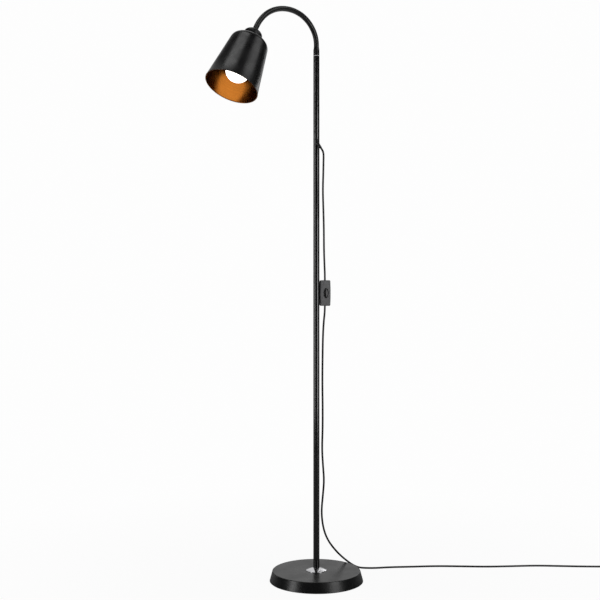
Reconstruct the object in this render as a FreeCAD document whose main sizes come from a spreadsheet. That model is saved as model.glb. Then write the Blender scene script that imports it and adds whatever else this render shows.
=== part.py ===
import FreeCAD, Part
import math
import os

import Sketcher

# A floor-standing reading lamp: a round weighted foot, a slim steel pole, a ribbed gooseneck that
# bends link by link, and a conical shade with its lampholder and globe bulb. Its flex leaves the
# pole through a rubber bushing, hangs to an in-line rocker switch and runs along the floor.
# Millimetres and degrees. The origin is on the floor, under the pole's axis, and +Z is up.

SIZES = [
    # foot
    ("base_diameter", 241, "foot across, at the floor"),
    ("base_top_diameter", 226, "foot across, where the side would meet the top"),
    ("base_height", 27, "top face of the foot above the floor"),
    ("base_edge_radius", 2.5, "round between the side and the top face"),
    ("base_wall", 1.5, "pressed sheet of the foot's cover"),
    ("base_lift", 0.8, "cover's rim above the floor"),
    ("pad_thickness", 2, "soft pad that the foot stands on"),
    ("pad_diameter", 228, "pad across"),
    ("plate_thickness", 1.2, "sheet that closes the foot underneath"),
    ("plate_margin", 1.4, "from the closing sheet's edge to the cover's inside"),
    ("plate_hub_diameter", 84, "raised middle of the closing sheet, at its top"),
    ("plate_flare", 13, "width of the slope round the raised middle"),
    ("weight_diameter", 196, "iron disc across"),
    ("weight_thickness", 12, "iron disc"),
    # hollow threaded tube, with its nuts and washers
    ("stud_diameter", 10, "hollow threaded tube that ties the lamp together"),
    ("stud_bore", 7, "way through the threaded tube for the flex"),
    ("thread_play", 0.05, "radial play of a thread, and of an insert in the pole"),
    ("stud_hole_play", 0.3, "radial play of a hole that the threaded tube passes"),
    ("stud_end", 1.5, "threaded tube past its nut"),
    ("nut_across", 17, "hexagon nut across its flats"),
    ("nut_thickness", 5, "hexagon nut"),
    ("washer_diameter", 22, "washer across"),
    ("washer_thickness", 1.5, "washer"),
    ("insert_length", 20, "threaded insert in each end of the pole"),
    # chrome collar at the pole's foot
    ("collar_diameter", 52.4, "collar across"),
    ("collar_height", 6.6, "collar above the foot, at the pole"),
    ("collar_edge", 0.9, "height of the collar's thin outer edge"),
    ("collar_lip", 0.7, "flat ring on top of the collar"),
    ("collar_crown", 60, "radius of the collar's domed top, in section"),
    ("collar_play", 0.15, "radial play between the collar and the pole"),
    # pole
    ("pole_diameter", 16, "pole tube across"),
    ("pole_wall", 1.2, "pole tube's wall"),
    ("pole_top", 1350, "pole's upper end above the floor"),
    ("pole_sections", 3, "number of screwed tubes in the pole"),
    ("coupler_length", 44, "stud that joins two tubes"),
    ("coupler_bore", 8, "way through that stud"),
    # bushing where the flex leaves the pole
    ("exit_height", 1125.6, "flex's hole above the floor"),
    ("exit_azimuth", 15, "hole round the pole, from its front towards its right"),
    ("exit_hole_diameter", 7.2, "hole for the flex"),
    ("bushing_azimuth", 40, "bushing's tail, from the front towards the right"),
    ("bushing_drop", 45, "bushing's tail below level"),
    ("bushing_length", 19, "bushing's tail outside the pole"),
    ("bushing_root_diameter", 9.2, "tail across at the pole"),
    ("bushing_tip_diameter", 6.2, "tail across at its tip"),
    ("bushing_barrel", 3.2, "bushing inside the pole"),
    ("exit_bend", 11.2, "flex's bend inside the pole, behind its hole"),
    ("bushing_play", 0.1, "radial play of the bushing in its hole, and on the pole"),
    # gooseneck
    ("ring_thickness", 1.8, "bright ring between the pole and the ferrule"),
    ("ring_step", 0.1, "how far the ring stands in from the pole's face"),
    ("ferrule_diameter", 15.7, "ferrule across"),
    ("ferrule_straight", 13.5, "ferrule's straight part"),
    ("ferrule_thread", 19, "ferrule's thread down into the pole"),
    ("neck_start", 26.7, "first bending point above the ring"),
    ("neck_diameter", 13.4, "gooseneck across its ribs"),
    ("neck_bore", 7, "way through the gooseneck for the flex"),
    ("rib_depth", 0.6, "depth of the groove between two ribs"),
    ("ribs_per_link", 7, "ribs on one link"),
    ("rib_rise", 0.2, "where a rib reaches its crest, as a part of the rib pitch"),
    ("rib_fall", 0.72, "where a rib leaves its crest, as a part of the rib pitch"),
    ("rib_foot", 0.92, "where a rib ends, as a part of the rib pitch"),
    ("link_length", 35.1, "from one bending point to the next, along the gooseneck"),
    ("ball_radius", 8.2, "round end of a link"),
    ("socket_play", 0.3, "gap between a round end and its seat"),
    ("neck_turn_1", 34, "bend of each link, as the lamp stands in use"),
    ("neck_turn_2", 26, ""),
    ("neck_turn_3", 19.5, ""),
    ("neck_turn_4", 14.5, ""),
    ("neck_turn_5", 12.5, ""),
    ("neck_turn_6", 14, ""),
    ("neck_turn_7", 16, ""),
    ("neck_turn_8", 16, ""),
    ("head_azimuth", 46.7, "the way the gooseneck leans, from the left towards the front"),
    # cap over the shade
    ("cap_diameter", 45, "cap across"),
    ("cap_side", 12, "height of the cap's side"),
    ("cap_dome", 10, "height of the cap's dome above its side"),
    ("cap_crown", 20, "radius of the dome, in section"),
    ("cap_flat_diameter", 17, "flat on top of the cap"),
    ("cap_wall", 1.2, "cap's sheet"),
    ("tip_reach", 7, "last bending point above the cap"),
    ("tip_collar_diameter", 16, "collar that sits on the cap"),
    ("tip_collar_height", 2.6, "that collar's height"),
    # shade
    ("shade_rim_diameter", 130.5, "shade across at its open rim"),
    ("shade_shoulder_diameter", 95, "shade across where its shoulder begins"),
    ("shade_side_height", 122, "rim to the shoulder"),
    ("shade_shoulder_radius", 17, "round of the shoulder"),
    ("shade_top_angle", 25, "slope of the top, from square to the axis"),
    ("shade_seat_diameter", 41, "flat that the cap's nut clamps"),
    ("shade_wall", 0.9, "shade's sheet"),
    ("rim_bead_radius", 0.95, "bead rolled along the rim"),
    # lampholder
    ("holder_diameter", 40, "lampholder's skirt across, at its mouth"),
    ("holder_top_diameter", 37, "lampholder across, at its shoulder"),
    ("holder_length", 52, "lampholder, from its seat under the shade to its mouth"),
    ("holder_shoulder", 10, "height of the lampholder's tapered top"),
    ("holder_neck_diameter", 16, "lampholder's neck"),
    ("holder_wall", 2, "lampholder's wall"),
    ("core_gap", 0.3, "between the lampholder's wall and the core"),
    ("core_thickness", 7, "ceramic core that carries the contacts"),
    ("screw_shell_bore", 26.8, "threaded brass shell, inside"),
    ("screw_shell_wall", 0.5, "threaded brass shell's sheet"),
    ("screw_shell_length", 25, "threaded brass shell"),
    ("contact_width", 6, "centre contact's strip"),
    ("contact_length", 16, "centre contact's strip"),
    ("contact_sheet", 0.6, "centre contact's strip"),
    # bulb
    ("globe_diameter", 60, "opal globe"),
    ("globe_wall", 1.4, "opal globe's wall"),
    ("globe_mouth_diameter", 52, "globe's opening, where the housing begins"),
    ("bulb_cap_diameter", 26.2, "screw cap of the bulb"),
    ("bulb_cap_length", 22, "screw cap"),
    ("bulb_eyelet_diameter", 9.6, "bulb's end contact"),
    ("bulb_eyelet_height", 2.4, "bulb's end contact"),
    ("bulb_housing_length", 36, "housing between the globe and the screw cap"),
    ("bulb_waist_diameter", 30, "housing at the screw cap"),
    ("bulb_gap", 0.3, "play between the bulb's end contact and the spring contact"),
    # switch
    ("switch_height", 66, "switch from end to end, along the flex"),
    ("switch_width", 26.5, "switch across at its waist"),
    ("switch_bow", 0.9, "how far each side bulges"),
    ("switch_depth", 17, "switch from back to front"),
    ("switch_back_depth", 7.5, "back half of the housing"),
    ("switch_bevel", 2.6, "bevel round the front face"),
    ("switch_corner", 3, "round corners, seen from the front"),
    ("switch_wall", 1.8, "switch housing's wall"),
    ("switch_bottom", 707.5, "switch's lower end above the floor"),
    ("switch_turn", 17, "how far the switch faces to the right"),
    ("switch_forward", 5.5, "switch's middle in front of where it leans on the pole"),
    ("switch_play", 0.3, "gap where the switch leans on the pole"),
    ("rocker_length", 24.4, "rocker"),
    ("rocker_width", 11.9, "rocker"),
    ("rocker_gap", 0.7, "gap round the rocker"),
    ("rocker_proud", 2.3, "rocker's crown in front of the switch's face"),
    ("rocker_fall", 1.5, "how far the rocker's ends lie behind its crown"),
    ("rocker_depth", 6.5, "rocker from its crown to its back"),
    ("rocker_pivot", 3.2, "rocker's pin behind the switch's face"),
    ("rocker_pin_diameter", 2.6, "rocker's pin"),
    ("rocker_pin_play", 0.32, "radial gap round that pin"),
    ("rocker_throw", 12, "rocker's whole travel"),
    ("lug_thickness", 1.5, "ear that holds the rocker's pin"),
    ("lug_margin", 2.2, "ear round the pin's hole"),
    ("screw_diameter", 2.8, "housing screw"),
    ("screw_head_diameter", 5.2, "housing screw's head"),
    ("screw_head_height", 1.6, "housing screw's head"),
    ("screw_length", 11, "housing screw under its head"),
    ("screw_side", 7.6, "screws to the side of the flex"),
    ("screw_spread", 13.5, "screws from the middle of the switch"),
    ("post_wall", 1.2, "wall of the post round a screw"),
    ("clamp_length", 5, "bar that grips the flex, along it"),
    ("clamp_width", 12, "bar that grips the flex"),
    ("clamp_inset", 9, "bar's outer face from the end of the switch"),
    ("blade_length", 14, "brass contact blade"),
    ("blade_height", 3.6, "brass contact blade"),
    ("blade_sheet", 0.8, "brass contact blade"),
    ("blade_spread", 7, "between the two blades"),
    # flex
    ("flex_diameter", 5, "round two-core flex"),
    ("flex_hole_play", 0.35, "radial play where the flex enters the switch or plug"),
    ("flex_lead", 12, "straight flex out of the bushing"),
    ("switch_lead", 14, "straight flex at each end of the switch"),
    # stored length: a small coil, its tie and the plug
    ("coil_turns", 3.25, "turns in the coil, half of them on each layer"),
    ("coil_diameter", 55, "coil across, at the middle of its turns"),
    ("coil_pitch", 5.6, "from one turn to the next, sideways and upwards"),
    ("coil_lead", 6, "straight flex at each end of the coil"),
    ("coil_across", 816, "coil's centre to the right of the pole"),
    ("coil_behind", 158, "coil's centre behind the pole"),
    ("tie_width", 8, "tie round the coil"),
    ("tie_sheet", 0.6, "tie's band"),
    ("tie_play", 0.5, "between the tie and the flex"),
    ("tie_angle", 125, "where the tie sits round the coil"),
    ("plug_width", 35, "plug across its two pins"),
    ("plug_thickness", 14, "plug's other side"),
    ("plug_length", 36, "plug's body"),
    ("plug_tail_width", 17, "plug's body where the flex enters"),
    ("plug_edge", 3, "round edges of the plug"),
    ("plug_reach", 40, "from the coil to the plug's strain relief"),
    ("relief_length", 24, "tapered strain relief on the plug"),
    ("relief_root_diameter", 9, "strain relief at the plug"),
    ("relief_tip_diameter", 6.6, "strain relief at its tip"),
    ("pin_diameter", 4, "plug's pin"),
    ("pin_length", 19, "plug's pin"),
    ("pin_spread", 18.6, "between the two pins"),
]

# The flex's free routes, chosen by hand (x, y, z). Their first and last points follow the sizes.
HANGING_ABOVE_SWITCH = [
    (18.0, -28.6, 1092.6),
    (17.6, -29.6, 1075),
    (17.2, -27.5, 1048),
    (15.9, -23.2, 1003),
    (17.6, -18, 954),
    (19.0, -12, 904),
    (19.3, -6.5, 852),
    (20.8, -0.8, 813),
]
HANGING_BELOW_SWITCH = [
    (19.0, 2.3, 668),
    (16.9, 3, 630),
    (16.0, 4, 575),
    (15.4, 5, 510),
    (16.4, 6, 447),
    (16.3, 7, 389),
    (14.5, 8, 338),
    (17.4, 9, 292),
    (20.2, 9.5, 256),
    (17.0, 11, 218),
    (13.3, 13.5, 178),
    (15.5, 16.5, 147),
    (21.5, 23, 119),
    (31.5, 34.5, 94.5),
    (46, 47, 72),
    (63, 64, 50),
    (82, 90.5, 28),
    (98, 99.5, 14.5),
    (115, 107, 5),
]
LYING_ON_FLOOR = [
    (135, 111),
    (163, 111),
    (195, 119),
    (260, 124),
    (325, 131),
    (392, 128),
    (460, 124),
    (528, 129),
    (596, 136),
    (660, 131),
    (722, 126.5),
]

doc = FreeCAD.newDocument("reading_lamp")
sheet = doc.addObject("Spreadsheet::Sheet", "Sizes")
for row, (alias, amount, meaning) in enumerate(SIZES, start=1):
    sheet.set(f"A{row}", alias)
    sheet.set(f"B{row}", str(amount))
    sheet.set(f"C{row}", meaning)
    sheet.setAlias(f"B{row}", alias)
doc.recompute()


class Size:
    """A number from the sheet, or worked out from it, with the expression that binds it."""

    def __init__(self, value, text=None):
        self.value = float(value)
        self.text = text or f"{self.value:.9g}"

    def joined(self, other, sign, swapped=False):
        other = other if isinstance(other, Size) else Size(other)
        first, second = (other, self) if swapped else (self, other)
        a, b = first.value, second.value
        value = {"+": a + b, "-": a - b, "*": a * b}[sign] if sign != "/" else a / b
        return Size(value, f"({first.text} {sign} {second.text})")

    def __add__(self, other):
        return self.joined(other, "+")

    def __radd__(self, other):
        return self.joined(other, "+", True)

    def __sub__(self, other):
        return self.joined(other, "-")

    def __rsub__(self, other):
        return self.joined(other, "-", True)

    def __mul__(self, other):
        return self.joined(other, "*")

    def __rmul__(self, other):
        return self.joined(other, "*", True)

    def __truediv__(self, other):
        return self.joined(other, "/")

    def __neg__(self):
        return self.joined(0, "-", True)


class Sheet:
    """Reads a driving size by its name: s.pole_diameter."""

    def __getattr__(self, name):
        return Size(sheet.get(name), f"Sizes.{name}")


def sine(angle):
    return Size(math.sin(math.radians(angle.value)), f"sin({angle.text})")


def cosine(angle):
    return Size(math.cos(math.radians(angle.value)), f"cos({angle.text})")


def tangent(angle):
    return Size(math.tan(math.radians(angle.value)), f"tan({angle.text})")


def whole(count):
    return Size(round(count.value), f"round({count.text})")


def root(square):
    return Size(math.sqrt(square.value), f"sqrt({square.text})")


def leg(longest, other):
    """The third side of a right-angled triangle, from its longest side and another one."""
    return root(longest * longest - other * other)


s = Sheet()
ZERO = Size(0)
UP = FreeCAD.Vector(0, 0, 1)
HOME = FreeCAD.Placement()
nodes = []


# ---------------------------------------------------------------- ways of making a piece


def bind(thing, path, size):
    """Tie one property of an object to the sheet."""
    thing.setExpression(path, size.text)


def keep(thing, label, place=HOME):
    """Name a finished sub-part and put it in its place."""
    thing.Label = label
    thing.Placement = place
    nodes.append(thing)
    return thing


def flat_arc(start, end, radius, side):
    """An arc in a sketch, whose centre lies left (+1) or right (-1) of the way from start to end."""
    chord = end - start
    middle = (start + end) * 0.5
    rise = math.sqrt(max(radius ** 2 - (chord.Length / 2) ** 2, 0))
    left = FreeCAD.Vector(-chord.y, chord.x, 0).normalize()
    centre = middle + left * rise * side
    circle = Part.Circle(centre, UP, radius)
    first, last = (start, end) if side > 0 else (end, start)
    return Part.ArcOfCircle(circle, circle.parameter(first), circle.parameter(last))


def pin_corner(sketch, line, point, corner):
    """Hold a corner of an outline at its two distances from the sketch's origin."""
    for kind, axis, size in (("DistanceX", -2, corner[0]), ("DistanceY", -1, corner[1])):
        if size.text == ZERO.text:
            sketch.addConstraint(Sketcher.Constraint("PointOnObject", line, point, axis))
            continue
        index = sketch.addConstraint(Sketcher.Constraint(kind, -1, 1, line, point, size.value))
        bind(sketch, f"Constraints[{index}]", size)


def draw_outline(sketch, corners, arcs=None):
    """Draw a closed outline through corners of sizes; arcs gives some sides a radius and a side."""
    arcs = arcs or {}
    spots = [FreeCAD.Vector(x.value, y.value, 0) for x, y in corners]
    count = len(corners)
    ends = []
    for i in range(count):
        start, end = spots[i], spots[(i + 1) % count]
        if i in arcs:
            radius, side = arcs[i]
            line = sketch.addGeometry(flat_arc(start, end, radius.value, side))
            index = sketch.addConstraint(Sketcher.Constraint("Radius", line, radius.value))
            bind(sketch, f"Constraints[{index}]", radius)
            ends.append((line, 1, 2) if side > 0 else (line, 2, 1))
        else:
            line = sketch.addGeometry(Part.LineSegment(start, end))
            ends.append((line, 1, 2))
    for i in range(count):
        line, _, last = ends[i]
        following, first, _ = ends[(i + 1) % count]
        sketch.addConstraint(Sketcher.Constraint("Coincident", line, last, following, first))
    for i in range(count):
        line, first, _ = ends[i]
        pin_corner(sketch, line, first, corners[i])


def sketch_on(body, role, corners, arcs=None, lift=None):
    """A closed outline on one of a body's own planes, lifted off it where that is asked."""
    plane = [item for item in body.Origin.OriginFeatures if item.Role == role][0]
    sketch = body.newObject("Sketcher::SketchObject", "Outline")
    sketch.AttachmentSupport = (plane, "")
    sketch.MapMode = "FlatFace"
    if lift is not None:
        bind(sketch, "AttachmentOffset.Base.z", lift)
    draw_outline(sketch, corners, arcs)
    return sketch


def new_body(label):
    return doc.addObject("PartDesign::Body", label)


def turn_outline(body, corners, arcs=None, kind="PartDesign::Revolution"):
    """Turn an outline of (radius, height) corners about the body's own Z axis."""
    turned_piece = body.newObject(kind, "Turned")
    turned_piece.Profile = sketch_on(body, "XZ_Plane", corners, arcs)
    turned_piece.ReferenceAxis = (turned_piece.Profile[0], ["V_Axis"])
    turned_piece.Angle = 360
    doc.recompute()
    return turned_piece


def turned(label, corners, arcs=None, place=HOME):
    """A turned piece."""
    body = new_body(label)
    turn_outline(body, corners, arcs)
    return keep(body, label, place)


def round_edges(body, radius, wanted, kind="Fillet"):
    """Round or bevel the edges of a body that pass a test on the edge."""
    doc.recompute()
    tip = body.Tip
    names = [f"Edge{i + 1}" for i, edge in enumerate(tip.Shape.Edges) if wanted(edge)]
    dressing = body.newObject(f"PartDesign::{kind}", kind)
    dressing.Base = (tip, names)
    bind(dressing, "Radius" if kind == "Fillet" else "Size", radius)
    doc.recompute()


def on_circle(radius, height):
    """A test for a circular edge of this radius whose centre lies at this height on Z."""

    def test(edge):
        curve = edge.Curve
        return (
            isinstance(curve, Part.Circle)
            and abs(curve.Radius - radius.value) < 1e-4
            and abs(curve.Center.z - height.value) < 1e-4
        )

    return test


def pad_outline(body, role, corners, length, arcs=None, lift=None, back=False):
    pad = body.newObject("PartDesign::Pad", "Pad")
    pad.Profile = sketch_on(body, role, corners, arcs, lift)
    bind(pad, "Length", length)
    pad.Reversed = back
    doc.recompute()
    return pad


def pocket_outline(body, role, corners, length, arcs=None, lift=None, back=False):
    pocket = body.newObject("PartDesign::Pocket", "Pocket")
    pocket.Profile = sketch_on(body, role, corners, arcs, lift)
    bind(pocket, "Length", length)
    pocket.Reversed = back
    before = body.Shape.Volume
    doc.recompute()
    if not body.Shape.Volume < before:
        raise RuntimeError(f"a pocket in {body.Label} cuts nothing")
    return pocket


def rod(name, radius, length, base, direction=UP):
    """A round rod from a point along a direction, as a primitive."""
    cylinder = doc.addObject("Part::Cylinder", name)
    bind(cylinder, "Radius", radius)
    bind(cylinder, "Height", length)
    cylinder.Placement = FreeCAD.Placement(base, FreeCAD.Rotation(UP, direction))
    return cylinder


def block(name, lengths, corner):
    """A box from its lowest corner, both as sizes."""
    box = doc.addObject("Part::Box", name)
    for path, size in zip(("Length", "Width", "Height"), lengths):
        bind(box, path, size)
    for path, size in zip("xyz", corner):
        bind(box, f"Placement.Base.{path}", size)
    return box


def less(name, base, tool):
    cut = doc.addObject("Part::Cut", name)
    cut.Base = base
    cut.Tool = tool
    return cut


def joined(name, pieces):
    """One solid out of pieces that meet."""
    fuse = doc.addObject("Part::MultiFuse", name)
    fuse.Shapes = pieces
    fuse.Refine = True
    return fuse


def together(label, pieces, place=HOME):
    """Like pieces that share one name but stay separate solids."""
    group = doc.addObject("Part::Compound", label)
    group.Links = pieces
    return keep(group, label, place)


def shaped(label, shape):
    """A sub-part whose shape is worked out here."""
    feature = doc.addObject("Part::Feature", label)
    feature.Shape = shape
    return keep(feature, label)


def square(across, low, high, bore):
    """The outline of a plain ring, turned from a bore out to a radius."""
    return [(bore, low), (across, low), (across, high), (bore, high)]


# ---------------------------------------------------------------- runs, arcs and tubes


def corner_arc(start, corner, end):
    """The arc that leaves start towards the corner and arrives at end; also gives its radius."""
    into = (corner - start).normalize()
    out = (end - corner).normalize()
    half = into.getAngle(out) / 2
    radius = (corner - start).Length / math.tan(half)
    inward = (out - into).normalize()
    middle = corner + inward * (radius / math.cos(half) - radius)
    return Part.Arc(start, middle, end).toShape(), radius


def routed(points, first_reach=None):
    """Straight runs joined by tangent arcs, each as large as its two runs allow."""
    share = 0.45
    edges = []
    radii = []
    here = points[0]
    for before, corner, after in zip(points, points[1:], points[2:]):
        reach = share * min((corner - before).Length, (after - corner).Length)
        if first_reach and not edges:
            reach = first_reach
        start = corner + (before - corner).normalize() * reach
        end = corner + (after - corner).normalize() * reach
        arc, radius = corner_arc(start, corner, end)
        edges += [Part.LineSegment(here, start).toShape(), arc]
        radii.append(radius)
        here = end
    edges.append(Part.LineSegment(here, points[-1]).toShape())
    return Part.Wire(edges), radii


def tube(name, wire, radius):
    """A round tube along a wire, with its volume set against section times length."""
    first = wire.Edges[0]
    start = first.valueAt(first.FirstParameter)
    along = first.tangentAt(first.FirstParameter)
    section = Part.Wire(Part.makeCircle(radius, start, along))
    solid = wire.makePipeShell([section], True, False)
    expected = math.pi * radius ** 2 * wire.Length
    print(f"{name}: {wire.Length:.0f} mm long, volume {solid.Volume / expected:.4f} of expected")
    return solid


def flex_tube(label, points, first_reach=None):
    """A stretch of flex through a row of points."""
    wire, radii = routed(points, first_reach)
    print(f"{label} radii:", " ".join(f"{radius:.0f}" for radius in radii))
    return shaped(label, tube(label, wire, s.flex_diameter.value / 2))


# ---------------------------------------------------------------- foot

base_radius = s.base_diameter / 2
base_top_radius = s.base_top_diameter / 2
stud_radius = s.stud_diameter / 2
stud_hole = stud_radius + s.stud_hole_play
threaded_hole = stud_radius + s.thread_play
cover_inside = s.base_height - s.base_wall
side_lean = (base_radius - base_top_radius) / s.base_height


def cover_radius(height):
    """Outer radius of the foot's conical side at a height above the floor."""
    return base_radius - side_lean * height


def make_base_cover():
    """Pressed steel cover: a conical side, a soft top edge and a hole for the threaded tube."""
    body = new_body("base_cover")
    top = s.base_height
    corners = [
        (cover_radius(s.base_lift) - s.base_wall, s.base_lift),
        (cover_radius(s.base_lift), s.base_lift),
        (cover_radius(top), top),
        (stud_hole, top),
        (stud_hole, cover_inside),
        (cover_radius(cover_inside) - s.base_wall, cover_inside),
    ]
    turn_outline(body, corners)
    round_edges(body, s.base_edge_radius, on_circle(cover_radius(top), top))
    inner = s.base_edge_radius - s.base_wall / 2
    round_edges(body, inner, on_circle(corners[5][0], cover_inside))
    round_edges(body, s.base_wall / 4, on_circle(cover_radius(s.base_lift), s.base_lift))
    keep(body, "base_cover")


def make_base_weight():
    """Iron disc under the cover's top."""
    low = cover_inside - s.weight_thickness
    body = new_body("base_weight")
    turn_outline(body, square(s.weight_diameter / 2, low, cover_inside, stud_hole))
    chamfer = s.weight_thickness / 8
    round_edges(body, chamfer, on_circle(s.weight_diameter / 2, cover_inside), "Chamfer")
    keep(body, "base_weight")


def make_base_plate():
    """Pressed sheet that closes the foot, with a raised middle that the nut clamps."""
    low = s.pad_thickness
    high = cover_inside - s.weight_thickness
    sheet_top = low + s.plate_thickness
    edge = cover_radius(sheet_top) - s.base_wall - s.plate_margin
    hub = s.plate_hub_diameter / 2
    foot = hub + s.plate_flare
    corners = [
        (stud_hole, high - s.plate_thickness),
        (hub - s.plate_thickness, high - s.plate_thickness),
        (foot - s.plate_thickness, low),
        (edge, low),
        (edge, sheet_top),
        (foot, sheet_top),
        (hub, high),
        (stud_hole, high),
    ]
    turned("base_plate", corners)


def make_base_pad():
    """Soft disc that the lamp stands on; it also hides the nut."""
    turned("base_pad", square(s.pad_diameter / 2, ZERO, s.pad_thickness, ZERO))


def hexagon_nut(label, low, place=HOME):
    """A hexagon nut on the threaded tube, from a height upwards."""
    body = new_body(label)
    apothem = s.nut_across / 2
    corner_reach = apothem / cosine(Size(30))
    half = corner_reach / 2
    corners = [
        (corner_reach, ZERO),
        (half, apothem),
        (-half, apothem),
        (-corner_reach, ZERO),
        (-half, -apothem),
        (half, -apothem),
    ]
    pad_outline(body, "XY_Plane", corners, s.nut_thickness, lift=low)
    groove = body.newObject("PartDesign::Groove", "Bore")
    high = low + s.nut_thickness
    groove.Profile = sketch_on(body, "XZ_Plane", square(threaded_hole, low, high, ZERO))
    groove.ReferenceAxis = (groove.Profile[0], ["V_Axis"])
    groove.Angle = 360
    doc.recompute()
    return keep(body, label, place)


foot_washer_top = cover_inside - s.weight_thickness - s.plate_thickness
foot_nut_top = foot_washer_top - s.washer_thickness


def make_foot_fastening():
    """Washer and nut under the foot, and the threaded tube up into the pole's insert."""
    washer = square(s.washer_diameter / 2, foot_nut_top, foot_washer_top, stud_hole)
    turned("foot_washer", washer)
    hexagon_nut("foot_nut", foot_nut_top - s.nut_thickness)
    low = foot_nut_top - s.nut_thickness - s.stud_end
    high = s.base_height + s.insert_length - s.stud_end
    turned("foot_stud", square(stud_radius, low, high, s.stud_bore / 2))


def make_pole_collar():
    """Chrome collar that hides the pole's foot: a thin edge and a low domed top."""
    bore = s.pole_diameter / 2 + s.collar_play
    low = s.base_height
    corners = [
        (bore, low),
        (s.collar_diameter / 2, low),
        (s.collar_diameter / 2, low + s.collar_edge),
        (bore + s.collar_lip, low + s.collar_height),
        (bore, low + s.collar_height),
    ]
    turned("pole_collar", corners, {2: (s.collar_crown, 1)})


# ---------------------------------------------------------------- pole

pole_radius = s.pole_diameter / 2
pole_bore = pole_radius - s.pole_wall
section_length = (s.pole_top - s.base_height) / whole(s.pole_sections)
section_names = ["lower", "middle", "upper"]


def level(angle):
    """A level direction, from the front (-Y) towards the right (+X)."""
    turn = math.radians(angle)
    return FreeCAD.Vector(math.sin(turn), -math.cos(turn), 0)


exit_point = level(s.exit_azimuth.value) * pole_radius.value + UP * s.exit_height.value
drop = math.radians(s.bushing_drop.value)
exit_way = level(s.bushing_azimuth.value) * math.cos(drop) - UP * math.sin(drop)
bushing_tip = exit_point + exit_way * s.bushing_length.value


def pole_tube(name, low):
    """One tube of the pole, from a height upwards."""
    base = UP * low.value
    outside = rod(name + "_outside", pole_radius, section_length, base)
    inside = rod(name + "_inside", pole_bore, section_length, base)
    for cylinder in (outside, inside):
        bind(cylinder, "Placement.Base.z", low)
    return less(name, outside, inside)


def make_pole():
    """Tubes of the pole, end on end; the top one has the flex's hole."""
    count = round(s.pole_sections.value)
    for i in range(count):
        name = "pole_" + (section_names[i] if i < count - 1 else section_names[-1])
        low = s.base_height + section_length * i
        if i < count - 1:
            keep(pole_tube(name, low), name)
            continue
        start = exit_point - exit_way * s.bushing_barrel.value * 2
        reach = s.bushing_barrel * 2 + s.bushing_length
        drill = rod("exit_drill", s.exit_hole_diameter / 2, reach, start, exit_way)
        keep(less(name, pole_tube(name + "_plain", low), drill), name)


def threaded_ring(name, low, length, bore):
    """An insert that fills the pole's bore round a threaded hole."""
    base = UP * low.value
    outside = rod(name + "_outside", pole_bore - s.thread_play, length, base)
    inside = rod(name + "_inside", bore, length, base)
    for cylinder in (outside, inside):
        bind(cylinder, "Placement.Base.z", low)
    return less(name, outside, inside)


def make_pole_inserts():
    """Threaded inserts in the pole's two ends, and the studs that join its tubes."""
    low = threaded_ring("foot_insert", s.base_height, s.insert_length, threaded_hole)
    top = s.pole_top - s.insert_length
    high = threaded_ring("top_insert", top, s.insert_length, threaded_hole)
    together("pole_inserts", [low, high])
    couplers = []
    for i in range(1, round(s.pole_sections.value)):
        base = s.base_height + section_length * i - s.coupler_length / 2
        name = f"coupler_{i}"
        couplers.append(threaded_ring(name, base, s.coupler_length, s.coupler_bore / 2))
    together("pole_couplers", couplers)


def make_bushing():
    """Rubber bushing in the flex's hole, with a tapered tail that sits against the pole."""
    tail = doc.addObject("Part::Cone", "bushing_tail")
    bind(tail, "Radius1", s.bushing_root_diameter / 2)
    bind(tail, "Radius2", s.bushing_tip_diameter / 2)
    bind(tail, "Height", s.bushing_length)
    turn = FreeCAD.Rotation(UP, exit_way)
    tail.Placement = FreeCAD.Placement(exit_point, turn)
    pole_bottom = s.exit_height - s.bushing_length * 2
    clear = rod("bushing_saddle", pole_radius + s.bushing_play, s.bushing_length * 4, HOME.Base)
    bind(clear, "Placement.Base.z", pole_bottom)
    saddle = less("bushing_outside", tail, clear)
    start = exit_point - exit_way * s.bushing_barrel.value
    barrel_radius = s.exit_hole_diameter / 2 - s.bushing_play
    barrel_length = s.bushing_barrel + s.bushing_length / 2
    barrel = rod("bushing_barrel", barrel_radius, barrel_length, start, exit_way)
    body = joined("bushing_body", [saddle, barrel])
    bore_length = s.bushing_barrel + s.bushing_length
    bore_radius = s.flex_diameter / 2 + s.bushing_play
    bore = rod("bushing_bore", bore_radius, bore_length, start, exit_way)
    keep(less("cord_bushing", body, bore), "cord_bushing")


def make_pole_flex():
    """The flex inside: from the bushing's tip back into the pole and up to the gooseneck."""
    bend = exit_point - exit_way * s.exit_bend.value
    rise = (s.pole_top.value - s.insert_length.value - bend.z) / 2
    top = s.pole_top.value + s.ring_thickness.value + s.neck_start.value - s.ball_radius.value * 2
    points = [
        bushing_tip,
        bend,
        bend + UP * rise * 0.7,
        FreeCAD.Vector(0, 0, bend.z + rise * 1.3),
        FreeCAD.Vector(0, 0, top),
    ]
    flex_tube("pole_flex", points, s.exit_bend.value - s.bushing_barrel.value)


# ---------------------------------------------------------------- gooseneck

neck_radius = s.neck_diameter / 2
groove_radius = neck_radius - s.rib_depth
neck_bore = s.neck_bore / 2
socket_radius = s.ball_radius + s.socket_play
ball_reach = leg(s.ball_radius, groove_radius)
socket_reach = leg(socket_radius, groove_radius)
ring_top = s.pole_top + s.ring_thickness
first_joint = ring_top + s.neck_start
neck_turns = [sheet.get(f"neck_turn_{i + 1}") for i in range(8)]
link_count = len(neck_turns)
lean = math.radians(s.head_azimuth.value)
outward = FreeCAD.Vector(-math.cos(lean), -math.sin(lean), 0)
across = UP.cross(outward)


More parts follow.
